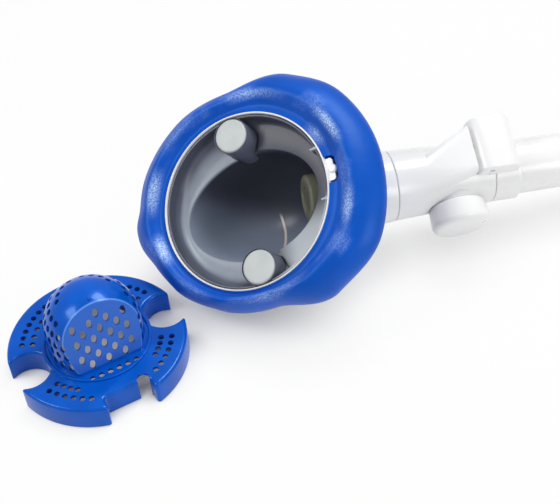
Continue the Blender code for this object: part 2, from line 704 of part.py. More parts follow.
def build_end_collar(pole):
    socket = POLE_RADIUS + GAP
    start = NECK_END + GAP
    lap_end = NECK_END + LAP_LENGTH + GAP
    outline = [
        (socket + COLLAR_CHAMFER, COLLAR_END), (COLLAR_RADIUS - COLLAR_CHAMFER, COLLAR_END),
        (COLLAR_RADIUS, COLLAR_END - COLLAR_CHAMFER), (COLLAR_RADIUS, start),
        (LAP_RADIUS + GAP, start), (LAP_RADIUS + GAP, lap_end), (socket, lap_end),
        (socket, COLLAR_END - COLLAR_CHAMFER),
    ]
    collar = turned("end_collar", outline, pole, ALONG_POLE, "white_plastic", ring=True)
    half = TOOTH_LENGTH / 2 + 0.0012
    window = box("tooth_window", (TOOTH_PLACE - half, lever_tooth_low() - 0.0005, 0.010),
                 (TOOTH_PLACE + half, lever_tooth_low() + TOOTH_WIDTH + 0.0005, 0.030), pole)
    cut(collar, window)
    return collar


# ---- latch lever ---------------------------------------------------------------------------
def lever_middle():
    return (LEVER_LOW + LEVER_HIGH) / 2


def lever_tooth_low():
    return -TOOTH_WIDTH / 2


def latch_pin_matrix():
    return Matrix.Translation((LATCH_PIN_PLACE, lever_middle(), LATCH_PIN_HEIGHT)) @ TO_KNOB


def build_lever(pole):
    """The lever hangs on a frame at its pin, so its sizes are taken from there."""
    hinge_place = Vector((LATCH_PIN_PLACE, 0, LATCH_PIN_HEIGHT))
    hinge = new_frame("lever_hinge", Matrix.Translation(hinge_place), pole)
    away = Matrix.Translation(-hinge_place)
    lever_end = LEVER_START + LEVER_LENGTH
    lever = box("latch_lever", (LEVER_START, LEVER_LOW, -LEVER_FACE), (lever_end, LEVER_HIGH,
                LEVER_FACE), hinge, away, "white_plastic", round_edges=(Y_AXIS, LEVER_ROUND))
    soften = lever.modifiers.new("soft_edges", "BEVEL")
    soften.width = 0.0011
    soften.segments = 2
    soften.limit_method = "ANGLE"
    soften.angle_limit = math.radians(50)
    base = box("lever_base", (LEVER_START - 0.01, LEVER_LOW - 0.01, -LEVER_FACE - 0.01),
               (lever_end + 0.01, LEVER_HIGH + 0.01, LEVER_BASE), hinge, away)
    saddle = cylinder("lever_saddle", COLLAR_RADIUS + 2 * GAP, LATCH_PIN_PLACE, lever_end + 0.01,
                      hinge, away @ ALONG_POLE)
    tail = cylinder("tail_saddle", NECK_RADIUS + 0.0018, LEVER_START - 0.01, LATCH_PIN_PLACE,
                    hinge, away @ ALONG_POLE)
    lug_room = box("lug_room", (LATCH_PIN_PLACE - LUG_LENGTH / 2 - 0.0012,
                                lever_middle() - LUG_WIDTH / 2 - GAP, 0.010),
                   (LATCH_PIN_PLACE + LUG_LENGTH / 2 + 0.0012,
                    lever_middle() + LUG_WIDTH / 2 + GAP,
                    LATCH_PIN_HEIGHT + LUG_LENGTH / 2 + 0.0005), hinge, away)
    spring_room = cylinder("spring_room", LATCH_SPRING_RADIUS + 0.0008, 0.010,
                           spring_top() + GAP, hinge, away @ spring_matrix(), steps=SMALL_STEPS)
    tooth = box("tooth", (TOOTH_PLACE - TOOTH_LENGTH / 2, lever_tooth_low(), TOOTH_TIP),
                (TOOTH_PLACE + TOOTH_LENGTH / 2, lever_tooth_low() + TOOTH_WIDTH,
                 COLLAR_RADIUS + 0.003), hinge, away)
    pin_bore = cylinder("lever_bore", LATCH_PIN_RADIUS + GAP, -0.03, 0.03, hinge,
                        away @ latch_pin_matrix(), steps=SMALL_STEPS)
    cut(lever, base, saddle, tail, lug_room, spring_room)
    join(lever, tooth)
    cut(lever, pin_bore)
    half = (LEVER_HIGH - LEVER_LOW) / 2 - 0.0015
    cylinder("latch_pin", LATCH_PIN_RADIUS, -half, half, pole, latch_pin_matrix(), "steel", 16)
    return lever


def spring_matrix():
    return Matrix.Translation((LATCH_SPRING_PLACE, lever_middle(), 0))


def spring_foot():
    """Height of the neck's wall under the spring."""
    return math.sqrt(NECK_RADIUS ** 2 - lever_middle() ** 2) + 2 * GAP + LATCH_SPRING_WIRE


def spring_top():
    return spring_foot() + 0.0042


def build_latch_spring(pole):
    steps = 8
    curve = bpy.data.curves.new("latch_spring", "CURVE")
    curve.dimensions = "3D"
    curve.bevel_depth = LATCH_SPRING_WIRE
    curve.bevel_resolution = 2
    curve.use_fill_caps = True
    spline = curve.splines.new("POLY")
    count = LATCH_SPRING_TURNS * steps
    spline.points.add(count)
    foot = spring_foot()
    rise = spring_top() - LATCH_SPRING_WIRE - foot
    for k in range(count + 1):
        angle = 2 * math.pi * k / steps
        spline.points[k].co = (LATCH_SPRING_RADIUS * math.cos(angle),
                               LATCH_SPRING_RADIUS * math.sin(angle), foot + rise * k / count, 1)
    curve.materials.append(finish_material("steel"))
    spring = bpy.data.objects.new("latch_spring", curve)
    HEAD_PARTS.objects.link(spring)
    spring.parent = pole
    spring.matrix_local = spring_matrix()


# ---- side knob -----------------------------------------------------------------------------
def knob_matrix():
    return Matrix.Translation((KNOB_PLACE, 0, 0)) @ TO_KNOB


def build_knob(pole):
    end = KNOB_START + KNOB_LENGTH
    clip_radius = KNOB_STEM + KNOB_CLIP_RIM
    clip_high = math.sqrt(NECK_BORE ** 2 - clip_radius ** 2) - GAP
    clip_low = clip_high - KNOB_CLIP_THICKNESS
    neck_of_stem = KNOB_STEM - KNOB_CLIP_BITE
    outline = [(0, end + KNOB_CROWN), (KNOB_RADIUS * 0.6, end + 0.6 * KNOB_CROWN)]
    outline += arc_points((KNOB_RADIUS - KNOB_ROUND, end - KNOB_ROUND), KNOB_ROUND, 90, 0, 3)
    outline += [(KNOB_RADIUS - 0.0004, KNOB_START), (KNOB_STEM, KNOB_START),
                (KNOB_STEM, clip_high + GAP / 2), (neck_of_stem, clip_high + GAP / 2),
                (neck_of_stem, clip_low - GAP / 2), (KNOB_STEM, clip_low - GAP / 2),
                (KNOB_STEM, clip_low - KNOB_STEM_TAIL), (0, clip_low - KNOB_STEM_TAIL)]
    turned("side_knob", outline, pole, knob_matrix(), "white_plastic", KNOB_STEPS)
    sleeve("knob_clip", clip_radius, neck_of_stem + GAP, clip_low, clip_high, pole,
           knob_matrix(), "steel", SMALL_STEPS)
    seal_place = Matrix.Translation((0, 0, KNOB_START - GAP - SEAL_WIRE))
    seal_ring("knob_seal", KNOB_STEM + GAP + SEAL_WIRE, SEAL_WIRE, pole,
              knob_matrix() @ seal_place, "black_rubber", SMALL_STEPS)


# ---- pole ----------------------------------------------------------------------------------
def build_pole(pole):
    inner = POLE_RADIUS - POLE_WALL
    tube = sleeve("pole_tube", POLE_RADIUS, inner, POLE_STOP, POLE_END, pole, ALONG_POLE,
                  "white_enamel")
    half = TOOTH_LENGTH / 2 + 0.0012
    keyhole = box("keyhole", (TOOTH_PLACE - half, lever_tooth_low() - 0.0005, 0.010),
                  (TOOTH_PLACE + half, lever_tooth_low() + TOOTH_WIDTH + 0.0005, 0.030), pole)
    cut(tube, keyhole)
    lip_end = POLE_END + GAP + FERRULE_LIP
    bore = inner - GAP - 0.0016
    outline = [(bore, lip_end), (POLE_RADIUS - 0.0006, lip_end),
               (POLE_RADIUS, lip_end - 0.0006), (POLE_RADIUS, POLE_END + GAP),
               (inner - GAP, POLE_END + GAP), (inner - GAP, POLE_END - FERRULE_LENGTH),
               (bore, POLE_END - FERRULE_LENGTH)]
    turned("pole_ferrule", outline, pole, ALONG_POLE, "grey_plastic", MEDIUM_STEPS, ring=True)


# ---- strainer ------------------------------------------------------------------------------
def facet_matrix(offset):
    """Frame on the dome's flat facet, with z out of it and x level across it."""
    turn = Matrix.Rotation(math.radians(90) - FACET_LEAN, 4, "Y")
    place = Matrix.Translation((FACET_PLACE, 0, STRAINER_HEIGHT))
    return place @ turn @ Matrix.Translation((0, 0, offset))


def facet_block(name, offset, frame):
    return box(name, (-0.08, -0.06, 0), (0.04, 0.06, 0.06), frame, facet_matrix(offset))


def plan_points(inset):
    """Outline of the strainer's plate, moved inwards: a disc with two round notches for the
    columns and a square notch at the heel, as the same number of points for any inset."""
    radius = STRAINER_RADIUS - inset
    notch = POST_RADIUS + NOTCH_CLEARANCE + inset
    half = HEEL_NOTCH_HALF_WIDTH + inset
    chord = HEEL_NOTCH_PLACE - inset
    corner = HEEL_NOTCH_CORNER + inset
    heel_edge = math.degrees(math.asin(half / radius))
    reach = (radius ** 2 + POST_SPREAD ** 2 - notch ** 2) / (2 * radius * POST_SPREAD)
    notch_edge = math.degrees(math.acos(reach))
    meet = (radius * math.sin(math.radians(notch_edge)),
            radius * math.cos(math.radians(notch_edge)))
    turn = math.degrees(math.atan2(meet[1] - POST_SPREAD, meet[0]))
    side = arc_points((chord + corner, half - corner), corner, 180, 90, 3)
    side += arc_points((0, 0), radius, heel_edge, 90 - notch_edge, 7)
    side += arc_points((0, POST_SPREAD), notch, turn, -180 - turn, 14)[1:-1]
    side += arc_points((0, 0), radius, 90 + notch_edge, 180, 9)
    mirrored = [(x, -y) for x, y in reversed(side[:-1])]
    return side + mirrored


def stacked_outlines(name, levels, frame, finish=None):
    """Solid through outlines with the same number of points, each at its own height."""
    bm = bmesh.new()
    rings = []
    for outline, height in levels:
        rings.append([bm.verts.new((x, y, height)) for x, y in outline])
    for lower, upper in zip(rings, rings[1:]):
        for k in range(len(lower)):
            n = (k + 1) % len(lower)
            bm.faces.new((lower[k], lower[n], upper[n], upper[k]))
    bm.faces.new(rings[0])
    bm.faces.new(rings[-1])
    bmesh.ops.recalc_face_normals(bm, faces=bm.faces)
    return place_object(name, mesh_from(bm, name), frame, finish=finish)


def dome_solid(name, radius, low, top_of_straight, frame, phase):
    outline = []
    count = 5
    for k in range(count + 1):
        angle = math.radians(90 - 90 * k / count)
        outline.append((max(0.0, radius * math.cos(angle)),
                        top_of_straight + radius * math.sin(angle)))
    outline[0] = (0.0, top_of_straight + radius)
    outline += [(radius, low), (0, low)]
    return turned(name, outline, frame, Matrix.Rotation(math.radians(phase), 4, "Z"))


def pins(name, places, length, frame):
    """One cutter made of a pin through each hole."""
    bm = bmesh.new()
    for place in places:
        bmesh.ops.create_cone(bm, cap_ends=True, segments=HOLE_SIDES, radius1=HOLE_RADIUS,
                              radius2=HOLE_RADIUS, depth=length, matrix=place)
    return place_object(name, mesh_from(bm, name), frame)


def hole_cutters(frame):
    """The strainer's perforations as three sets of pins: plate, sides of the dome, facet."""
    plate_holes = []
    plate = STRAINER_HEIGHT - STRAINER_WALL / 2
    for margin, sectors in PLATE_ROWS:
        radius = STRAINER_RADIUS - margin
        for start, end, count in sectors:
            for k in range(count):
                angle = math.radians(start + (end - start) * k / max(1, count - 1))
                for side in (1, -1):
                    plate_holes.append(Matrix.Translation((
                        radius * math.cos(angle), side * radius * math.sin(angle), plate)))
    for across in FLOOR_HOLES:
        plate_holes.append(Matrix.Translation((FACET_PLACE + FLOOR_HOLE_PLACE, across, plate)))
    dome_holes = []
    wall_middle = DOME_RADIUS - DOME_WALL / 2
    for height, start, end, count in DOME_ROWS:
        for k in range(count):
            angle = math.radians(start + (end - start) * k / (count - 1))
            for side in (1, -1):
                turn = Matrix.Rotation(side * angle, 4, "Z")
                lift = max(0.0, height - DOME_STRAIGHT)
                tilt = math.asin(min(0.95, lift / DOME_RADIUS))
                level = STRAINER_HEIGHT + min(height, DOME_STRAIGHT)
                point = Vector((wall_middle * math.cos(tilt), 0,
                                wall_middle * math.sin(tilt) + level))
                aim = Matrix.Rotation(math.radians(90) - tilt, 4, "Y")
                dome_holes.append(turn @ Matrix.Translation(point) @ aim)
    facet_holes = [facet_matrix(-DOME_WALL / 2) @ Matrix.Translation((-up, across, 0))
                   for across, up in facet_hole_places()]
    return (pins("plate_holes", plate_holes, 0.004, frame),
            pins("dome_holes", dome_holes, 0.005, frame),
            pins("facet_holes", facet_holes, 0.004, frame))


def facet_hole_places():
    """Staggered holes over the facet, kept clear of its edge."""
    places = []
    for row in range(FACET_ROWS):
        up = FACET_FIRST_ROW + row * FACET_ROW_RISE
        shift = 0.5 * (row % 2)
        for column in range(-4, 5):
            across = (column + shift) * FACET_PITCH
            inward = FACET_PLACE - up * math.sin(FACET_LEAN)
            lift = max(0.0, up * math.cos(FACET_LEAN) - DOME_STRAIGHT)
            edge = DOME_RADIUS ** 2 - lift ** 2 - inward ** 2
            if edge > 0 and abs(across) + FACET_MARGIN < math.sqrt(edge):
                places.append((across, up))
    return places


def build_strainer(frame):
    edge = STRAINER_EDGE
    strainer = stacked_outlines("strainer", [
        (plan_points(0.0), 0.0), (plan_points(0.0), STRAINER_HEIGHT - edge),
        (plan_points(0.3 * edge), STRAINER_HEIGHT - 0.3 * edge),
        (plan_points(edge), STRAINER_HEIGHT)], frame, "blue_plastic")
    top = STRAINER_HEIGHT + DOME_STRAIGHT
    dome = dome_solid("dome_outside", DOME_RADIUS, STRAINER_HEIGHT - 0.001, top, frame, 2.0)
    cut(dome, facet_block("facet_outside", 0.0, frame))
    ring = sleeve("plate_ring", RING_RADIUS + RING_WIDTH / 2, RING_RADIUS - RING_WIDTH / 2,
                  STRAINER_HEIGHT - 0.001, STRAINER_HEIGHT + RING_HEIGHT, frame)
    nub_place = Matrix.Translation((0, 0, top)) @ Matrix.Rotation(NUB_TILT, 4, "Y")
    nub = cylinder("nub", NUB_RADIUS, DOME_RADIUS - 0.001, DOME_RADIUS + 0.0007, frame,
                   nub_place, steps=12, top_radius=NUB_RADIUS * 0.6)
    hollow = stacked_outlines("skirt_hollow", [
        (plan_points(STRAINER_WALL), -0.001),
        (plan_points(STRAINER_WALL), STRAINER_HEIGHT - STRAINER_WALL)], frame)
    cut(strainer, hollow)
    join(strainer, ring, dome, nub)
    cage = dome_solid("dome_inside", DOME_RADIUS - DOME_WALL, -0.002, top, frame, 3.0)
    cut(cage, facet_block("facet_inside", -DOME_WALL, frame))
    cut(strainer, cage, *hole_cutters(frame))
    return strainer


# ---- assembly ------------------------------------------------------------------------------
def evaluated_bounds():
    """Lowest and highest corners of the parts, as they are shaped after their modifiers."""
    bpy.context.view_layer.update()
    graph = bpy.context.evaluated_depsgraph_get()
    low = Vector((1e9, 1e9, 1e9))
    high = -low
    for thing in HEAD_PARTS.objects:
        if thing.type == "EMPTY":
            continue
        shaped = thing.evaluated_get(graph)
        mesh = shaped.to_mesh()
        for vertex in mesh.vertices:
            point = thing.matrix_world @ vertex.co
            low = Vector(map(min, low, point))
            high = Vector(map(max, high, point))
        shaped.to_mesh_clear()
    return low, high


def build_head(pole):
    mouth_matrix = (Matrix.Rotation(-NECK_ANGLE, 4, "Y")
                    @ Matrix.Translation((0, 0, MOUTH_RISE)))
    mouth = new_frame("mouth_frame", mouth_matrix, pole)
    build_head_shell(mouth, pole)
    build_liner(mouth, pole)
    build_posts(mouth)
    build_bumper(mouth)
    build_valve(pole)
    build_neck(pole)
    build_end_collar(pole)
    build_lever(pole)
    build_latch_spring(pole)
    build_knob(pole)
    build_pole(pole)
    return mouth_matrix


def main():
    lying = Matrix.Rotation(PITCH, 4, "Y") @ Matrix.Rotation(ROLL, 4, "X")
    pole = new_frame("pole_frame", lying)
    mouth_matrix = build_head(pole)
    floor_drop, _ = evaluated_bounds()
    pole.location.z = -floor_drop.z
    mouth_centre = (lying @ mouth_matrix).translation
    heading = Matrix.Rotation(STRAINER_HEADING, 4, "Z")
    spot = Vector((mouth_centre.x + STRAINER_OFFSET[0], mouth_centre.y + STRAINER_OFFSET[1], 0))
    strainer_frame = new_frame("strainer_frame", Matrix.Translation(spot) @ heading)
    build_strainer(strainer_frame)
    low, high = evaluated_bounds()
    shift = Vector((-(low.x + high.x) / 2, -(low.y + high.y) / 2, 0))
    pole.location += shift
    strainer_frame.location += shift
    bpy.context.view_layer.update()


clear_scene()
HEAD_PARTS = new_collection("vacuum_head")
CUTTERS = new_collection("cutters")
main()
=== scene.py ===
"""Dresses a manual pool vacuum head: a round mouth with a soft bumper, a white neck with its
latch and knob on a pole, and the perforated strainer lying beside it.

Sizes are in metres. The pole frame has x along the pole away from the mouth and z on the latch
side; the mouth frame has z out of the mouth and x towards the heel, where the neck leaves.
"""

import json
import math

import bmesh
import bpy
from bpy.props import FloatProperty, FloatVectorProperty, PointerProperty
from mathutils import Matrix, Vector


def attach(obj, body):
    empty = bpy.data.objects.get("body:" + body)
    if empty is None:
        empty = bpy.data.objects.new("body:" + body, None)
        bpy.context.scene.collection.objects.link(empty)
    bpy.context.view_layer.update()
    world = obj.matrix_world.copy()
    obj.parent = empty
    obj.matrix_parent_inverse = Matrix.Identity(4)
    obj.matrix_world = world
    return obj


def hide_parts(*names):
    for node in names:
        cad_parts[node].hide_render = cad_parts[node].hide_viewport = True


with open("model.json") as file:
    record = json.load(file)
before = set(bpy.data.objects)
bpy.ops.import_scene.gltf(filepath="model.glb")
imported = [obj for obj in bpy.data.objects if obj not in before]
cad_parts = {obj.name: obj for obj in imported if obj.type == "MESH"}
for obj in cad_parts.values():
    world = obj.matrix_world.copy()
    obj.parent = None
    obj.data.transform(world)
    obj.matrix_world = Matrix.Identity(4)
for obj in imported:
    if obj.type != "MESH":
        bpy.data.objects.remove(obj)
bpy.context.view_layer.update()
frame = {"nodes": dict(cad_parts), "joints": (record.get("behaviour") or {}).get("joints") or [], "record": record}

bl_info = {
    "name": "Pool Vacuum Head",
    "version": (1, 0, 0),
    "blender": (4, 5, 0),
    "location": "3D View > Sidebar > Vacuum Head",
    "description": "Builds the surfaces of a manual pool vacuum head around its solids",
    "category": "Add Mesh",
}

# ---- places ----------------------------------------------------------------------------------
NECK_ANGLE = math.radians(33.0)
MOUTH_RISE = 0.0165
FLAP_PLACE = 0.0400
FLAP_PIN_HEIGHT = 0.0082
STRAINER_OFFSET = Vector((-0.0944, -0.0316, 0.0))
STRAINER_HEADING = math.radians(-74.8)
GAP = 0.0003

ALONG_POLE = Matrix.Rotation(math.radians(90), 4, "Y")
TO_KNOB = Matrix.Rotation(math.radians(90), 4, "X")
X_AXIS = Vector((1, 0, 0))
Y_AXIS = Vector((0, 1, 0))
Z_AXIS = Vector((0, 0, 1))
FINE = 96
SMALL = 32


def joint_named(name):
    return next(joint for joint in frame["joints"] if joint["name"] == name)


def pole_frame():
    """The pole's frame, from the flap's pin and the direction of the pole's end face."""
    face = next(m for m in frame["record"]["mounts"] if m["name"] == "pole_end_face")
    along = Vector(face["axis"]).normalized()
    across = -Vector(joint_named("flap_swing")["axis"]).normalized()
    latch_side = along.cross(across).normalized()
    pin = Vector(joint_named("flap_swing")["pos_m"])
    origin = pin - along * FLAP_PLACE - latch_side * FLAP_PIN_HEIGHT
    turned = Matrix((along, across, latch_side)).transposed().to_4x4()
    return Matrix.Translation(origin) @ turned


POLE = pole_frame()
TURNED = POLE @ ALONG_POLE
MOUTH = POLE @ Matrix.Rotation(-NECK_ANGLE, 4, "Y") @ Matrix.Translation((0, 0, MOUTH_RISE))
STRAINER_SPOT = MOUTH.translation + STRAINER_OFFSET
STRAINER_SPOT.z = 0.0
STRAINER_SHIFT = Vector((-0.0022, -0.0012, 0.0))
STRAINER_SWELL = Matrix.Diagonal((1.05, 1.05, 1.0, 1.0))
STRAINER = (Matrix.Translation(STRAINER_SPOT + STRAINER_SHIFT)
            @ Matrix.Rotation(STRAINER_HEADING, 4, "Z") @ STRAINER_SWELL)


# ---- settings a user can change ----------------------------------------------------------------
class HeadSizes(bpy.types.PropertyGroup):
    bumper_crest: FloatProperty(
        name="Bumper crest", description="How far the bumper's crest stands out of the mouth",
        default=0.0031, min=0.0, max=0.004, unit="LENGTH")
    bumper_grain: FloatProperty(
        name="Bumper grain", description="Depth of the rubber's fine grain",
        default=0.00022, min=0.0, max=0.0006, unit="LENGTH")
    rim_round: FloatProperty(
        name="Rim rounding", description="Radius of the white rim's edge",
        default=0.0005, min=0.0001, max=0.0007, unit="LENGTH")
    hole_radius: FloatProperty(
        name="Hole radius", description="Radius of the strainer's holes",
        default=0.00172, min=0.0010, max=0.0018, unit="LENGTH")


class HeadColours(bpy.types.PropertyGroup):
    bumper: FloatVectorProperty(
        name="Bumper", description="Colour of the bumper's rubber", subtype="COLOR",
        default=(0.0, 0.080, 0.50), min=0.0, max=1.0)
    strainer: FloatVectorProperty(
        name="Strainer", description="Colour of the strainer's plastic", subtype="COLOR",
        default=(0.0, 0.086, 0.51), min=0.0, max=1.0)
    white: FloatVectorProperty(
        name="White plastic", description="Colour of the neck, latch and knob", subtype="COLOR",
        default=(0.85, 0.85, 0.85), min=0.0, max=1.0)
    liner: FloatVectorProperty(
        name="Chamber", description="Colour of the chamber liner", subtype="COLOR",
        default=(0.105, 0.118, 0.165), min=0.0, max=1.0)


def sizes():
    return bpy.context.scene.head_sizes


def colours():
    return bpy.context.scene.head_colours


# ---- mesh helpers ------------------------------------------------------------------------------
def mesh_object(name, bm, matrix):
    """Object at the origin whose mesh already lies in its place."""
    bmesh.ops.transform(bm, matrix=matrix, verts=bm.verts)
    mesh = bpy.data.meshes.new(name)
    bm.to_mesh(mesh)
    bm.free()
    piece = bpy.data.objects.new(name, mesh)
    bpy.context.scene.collection.objects.link(piece)
    return piece


def arc_points(centre, radius, start, end, count):
    points = []
    for k in range(count + 1):
        angle = math.radians(start + (end - start) * k / count)
        points.append((centre[0] + radius * math.cos(angle),
                       centre[1] + radius * math.sin(angle)))
    return points


def rounded_outline(outline, radius, closed, steps=3):
    """Replace each sharp corner of a (radius, height) outline with a small arc."""
    count = len(outline)
    result = []
    for k, point in enumerate(outline):
        if not closed and k in (0, count - 1):
            result.append(point)
            continue
        here = Vector(point)
        before = Vector(outline[k - 1]) - here
        after = Vector(outline[(k + 1) % count]) - here
        bend = before.angle(-after)
        reach = min(radius, 0.45 * before.length, 0.45 * after.length)
        if bend < math.radians(20) or reach < 1e-5:
            result.append(point)
            continue
        start = here + before.normalized() * reach
        end = here + after.normalized() * reach
        for j in range(steps + 1):
            t = j / steps
            spot = start * (1 - t) ** 2 + here * 2 * t * (1 - t) + end * t ** 2
            result.append((spot.x, spot.y))
    return result


def lathe(outline, steps=FINE, ring=False, phase=0.0, soften=0.0):
    """Turn an outline of (radius, height) pairs about z into a closed mesh."""
    if soften:
        outline = rounded_outline(outline, soften, ring)
    bm = bmesh.new()
    columns = []
    for k in range(steps):
        turn = phase + 2 * math.pi * k / steps
        columns.append([bm.verts.new((r * math.cos(turn), r * math.sin(turn), h))
                        for r, h in outline])
    spans = len(outline) if ring else len(outline) - 1
    for k, column in enumerate(columns):
        following = columns[(k + 1) % steps]
        for j in range(spans):
            n = (j + 1) % len(outline)
            bm.faces.new((column[j], following[j], following[n], column[n]))
    bmesh.ops.remove_doubles(bm, verts=bm.verts, dist=1e-7)
    bmesh.ops.dissolve_degenerate(bm, edges=bm.edges, dist=1e-8)
    bmesh.ops.recalc_face_normals(bm, faces=bm.faces)
    return bm


def bar(radius, low, high, steps=SMALL, top_radius=None):
    top = radius if top_radius is None else top_radius
    return lathe([(0, high), (top, high), (radius, low), (0, low)], steps)


def block(low, high, matrix=Matrix(), edges=None, radius=0.0, segments=5):
    """Box between two corners; edges is a direction, or 'ALL', whose edges are rounded."""
    bm = bmesh.new()
    bmesh.ops.create_cube(bm, size=1.0)
    low = Vector(low)
    high = Vector(high)
    bmesh.ops.scale(bm, vec=high - low, verts=bm.verts)
    bmesh.ops.translate(bm, vec=(low + high) / 2, verts=bm.verts)
    if edges is not None:
        chosen = []
        for edge in bm.edges:
            run = (edge.verts[1].co - edge.verts[0].co).normalized()
            if edges == "ALL" or abs(run.dot(edges)) > 0.9:
                chosen.append(edge)
        bmesh.ops.bevel(bm, geom=chosen, offset=radius, segments=segments, profile=0.5,
                        affect="EDGES")
    bmesh.ops.transform(bm, matrix=matrix, verts=bm.verts)
    return bm


def loft(rings, cap_ends=False):
    """Skin closed rings with the same number of points; without caps the last meets the first."""
    bm = bmesh.new()
    rows = [[bm.verts.new(point) for point in ring] for ring in rings]
    spans = len(rows) - 1 if cap_ends else len(rows)
    for k in range(spans):
        row = rows[k]
        following = rows[(k + 1) % len(rows)]
        for j in range(len(row)):
            n = (j + 1) % len(row)
            bm.faces.new((row[j], row[n], following[n], following[j]))
    if cap_ends:
        bm.faces.new(rows[0])
        bm.faces.new(list(reversed(rows[-1])))
    bmesh.ops.recalc_face_normals(bm, faces=bm.faces)
    return bm


def hull(points):
    bm = bmesh.new()
    for point in points:
        bm.verts.new(point)
    result = bmesh.ops.convex_hull(bm, input=bm.verts)
    loose = [item for item in result["geom_interior"] if isinstance(item, bmesh.types.BMVert)]
    bmesh.ops.delete(bm, geom=loose, context="VERTS")
    bmesh.ops.recalc_face_normals(bm, faces=bm.faces)
    return bm


def settle(piece):
    """Turn a piece's live modifiers into its mesh."""
    bpy.context.view_layer.update()
    graph = bpy.context.evaluated_depsgraph_get()
    mesh = bpy.data.meshes.new_from_object(piece.evaluated_get(graph))
    piece.modifiers.clear()
    piece.data = mesh
    return piece


def soften_edges(piece, width, segments, degrees):
    """Round every edge of a piece that bends by more than an angle."""
    soften = piece.modifiers.new("soft_edges", "BEVEL")
    soften.width = width
    soften.segments = segments
    soften.limit_method = "ANGLE"
    soften.angle_limit = math.radians(degrees)
    return settle(piece)


def shape(piece, steps, matrix):
    """Apply ('UNION' or 'DIFFERENCE', tool) steps; a bmesh tool is placed by the matrix."""
    tools = []
    for operation, tool in steps:
        if isinstance(tool, bmesh.types.BMesh):
            tool = mesh_object("tool", tool, matrix)
        tools.append(tool)
        boolean = piece.modifiers.new("shape", "BOOLEAN")
        boolean.operation = operation
        boolean.solver = "EXACT"
        boolean.object = tool
    settle(piece)
    for tool in tools:
        bpy.data.objects.remove(tool, do_unlink=True)
    return piece


def placed(bm, matrix):
    bmesh.ops.transform(bm, matrix=matrix, verts=bm.verts)
    return bm


def dress(piece, body, slot, *nodes, finish=None, sharp=32.0):
    """Finish a piece: smooth shading, its material (the slot's own, unless another is named),
    and its place in the frame.
    """
    mesh = piece.data
    mesh.materials.clear()
    mesh.materials.append(material(finish or slot))
    mesh.polygons.foreach_set("material_index", [0] * len(mesh.polygons))
    mesh.shade_smooth()
    mesh.set_sharp_from_angle(angle=math.radians(sharp))
    if nodes:
        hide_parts(*nodes)
    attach(piece, body)
    return piece


# ---- materials ---------------------------------------------------------------------------------
class Socket:
    """A shader output that takes Python's arithmetic."""

    def __init__(self, maker, link):
        self.maker = maker
        self.link = link

    def math(self, operation, *values):
        return self.maker.node("ShaderNodeMath", {"operation": operation}, list(values))

    def __add__(self, other):
        return self.math("ADD", self, other)

    __radd__ = __add__

    def __sub__(self, other):
        return self.math("SUBTRACT", self, other)

    def __rsub__(self, other):
        return self.math("SUBTRACT", other, self)

    def __mul__(self, other):
        return self.math("MULTIPLY", self, other)

    __rmul__ = __mul__

    def __truediv__(self, other):
        return self.math("DIVIDE", self, other)

    def __pow__(self, other):
        return self.math("POWER", self, other)

    def size(self):
        return self.math("ABSOLUTE", self)

    def clamped(self):
        return self.math("MINIMUM", self.math("MAXIMUM", self, 0.0), 1.0)

    def between(self, low, high):
        """0 below low, 1 above high, easing between them; high may be under low."""
        ramp = ((self - low) / (high - low)).clamped()
        return ramp * ramp * (3.0 - 2.0 * ramp)


class MaterialMaker:
    """Builds one material from nodes, always through the node method."""

    def __init__(self, name):
        self.material = bpy.data.materials.new(name)
        self.material.use_nodes = True
        self.tree = self.material.node_tree
        self.tree.nodes.clear()

    def node(self, kind, settings=None, values=None, output=0):
        node = self.tree.nodes.new(kind)
        for key, value in (settings or {}).items():
            if key == "stops":
                ramp = node.color_ramp
                for index, (place, colour) in enumerate(value):
                    stop = ramp.elements[index] if index < 2 else ramp.elements.new(place)
                    stop.position = place
                    stop.color = (*colour, 1.0)
            else:
                setattr(node, key, value)
        pairs = enumerate(values) if isinstance(values, list) else (values or {}).items()
        for key, value in pairs:
            if isinstance(value, Socket):
                self.tree.links.new(value.link, node.inputs[key])
            elif isinstance(value, (tuple, list, Vector)):
                size = len(node.inputs[key].default_value)
                full = tuple(value) + (1.0,) * (size - len(value))
                node.inputs[key].default_value = full
            else:
                node.inputs[key].default_value = value
        return Socket(self, node.outputs[output])

    def place(self, matrix=None):
        """Object coordinates, taken into a frame if one is given."""
        point = self.node("ShaderNodeTexCoord", output=3)
        if matrix is None:
            return point
        turn = matrix.to_euler("XYZ")
        return self.node("ShaderNodeMapping", {"vector_type": "TEXTURE"},
                         {"Vector": point, "Location": matrix.translation, "Rotation": turn})

    def split(self, vector):
        first = self.node("ShaderNodeSeparateXYZ", None, [vector])
        outputs = first.link.node.outputs
        return tuple(Socket(self, outputs[k]) for k in range(3))

    def noise(self, vector, scale, detail=2.0, roughness=0.5):
        return self.node("ShaderNodeTexNoise", None, {"Vector": vector, "Scale": scale,
                                                      "Detail": detail, "Roughness": roughness})

    def blend(self, amount, first, second):
        node = self.node("ShaderNodeMix", {"data_type": "RGBA"},
                         {0: amount, 6: first, 7: second}, output=2)
        return node

    def bump(self, height, distance, strength=1.0):
        return self.node("ShaderNodeBump", None, {"Height": height, "Distance": distance,
                                                  "Strength": strength})

    def finish(self, colour, roughness, bump=None, metallic=0.0, **fixed):
        values = {"Base Color": colour, "Roughness": roughness, "Metallic": metallic}
        if bump is not None:
            values["Normal"] = bump
        values.update(fixed)
        shader = self.node("ShaderNodeBsdfPrincipled", None, values)
        self.node_output(shader)
        return self.material

    def node_output(self, shader):
        output = self.tree.nodes.new("ShaderNodeOutputMaterial")
        self.tree.links.new(shader.link, output.inputs["Surface"])


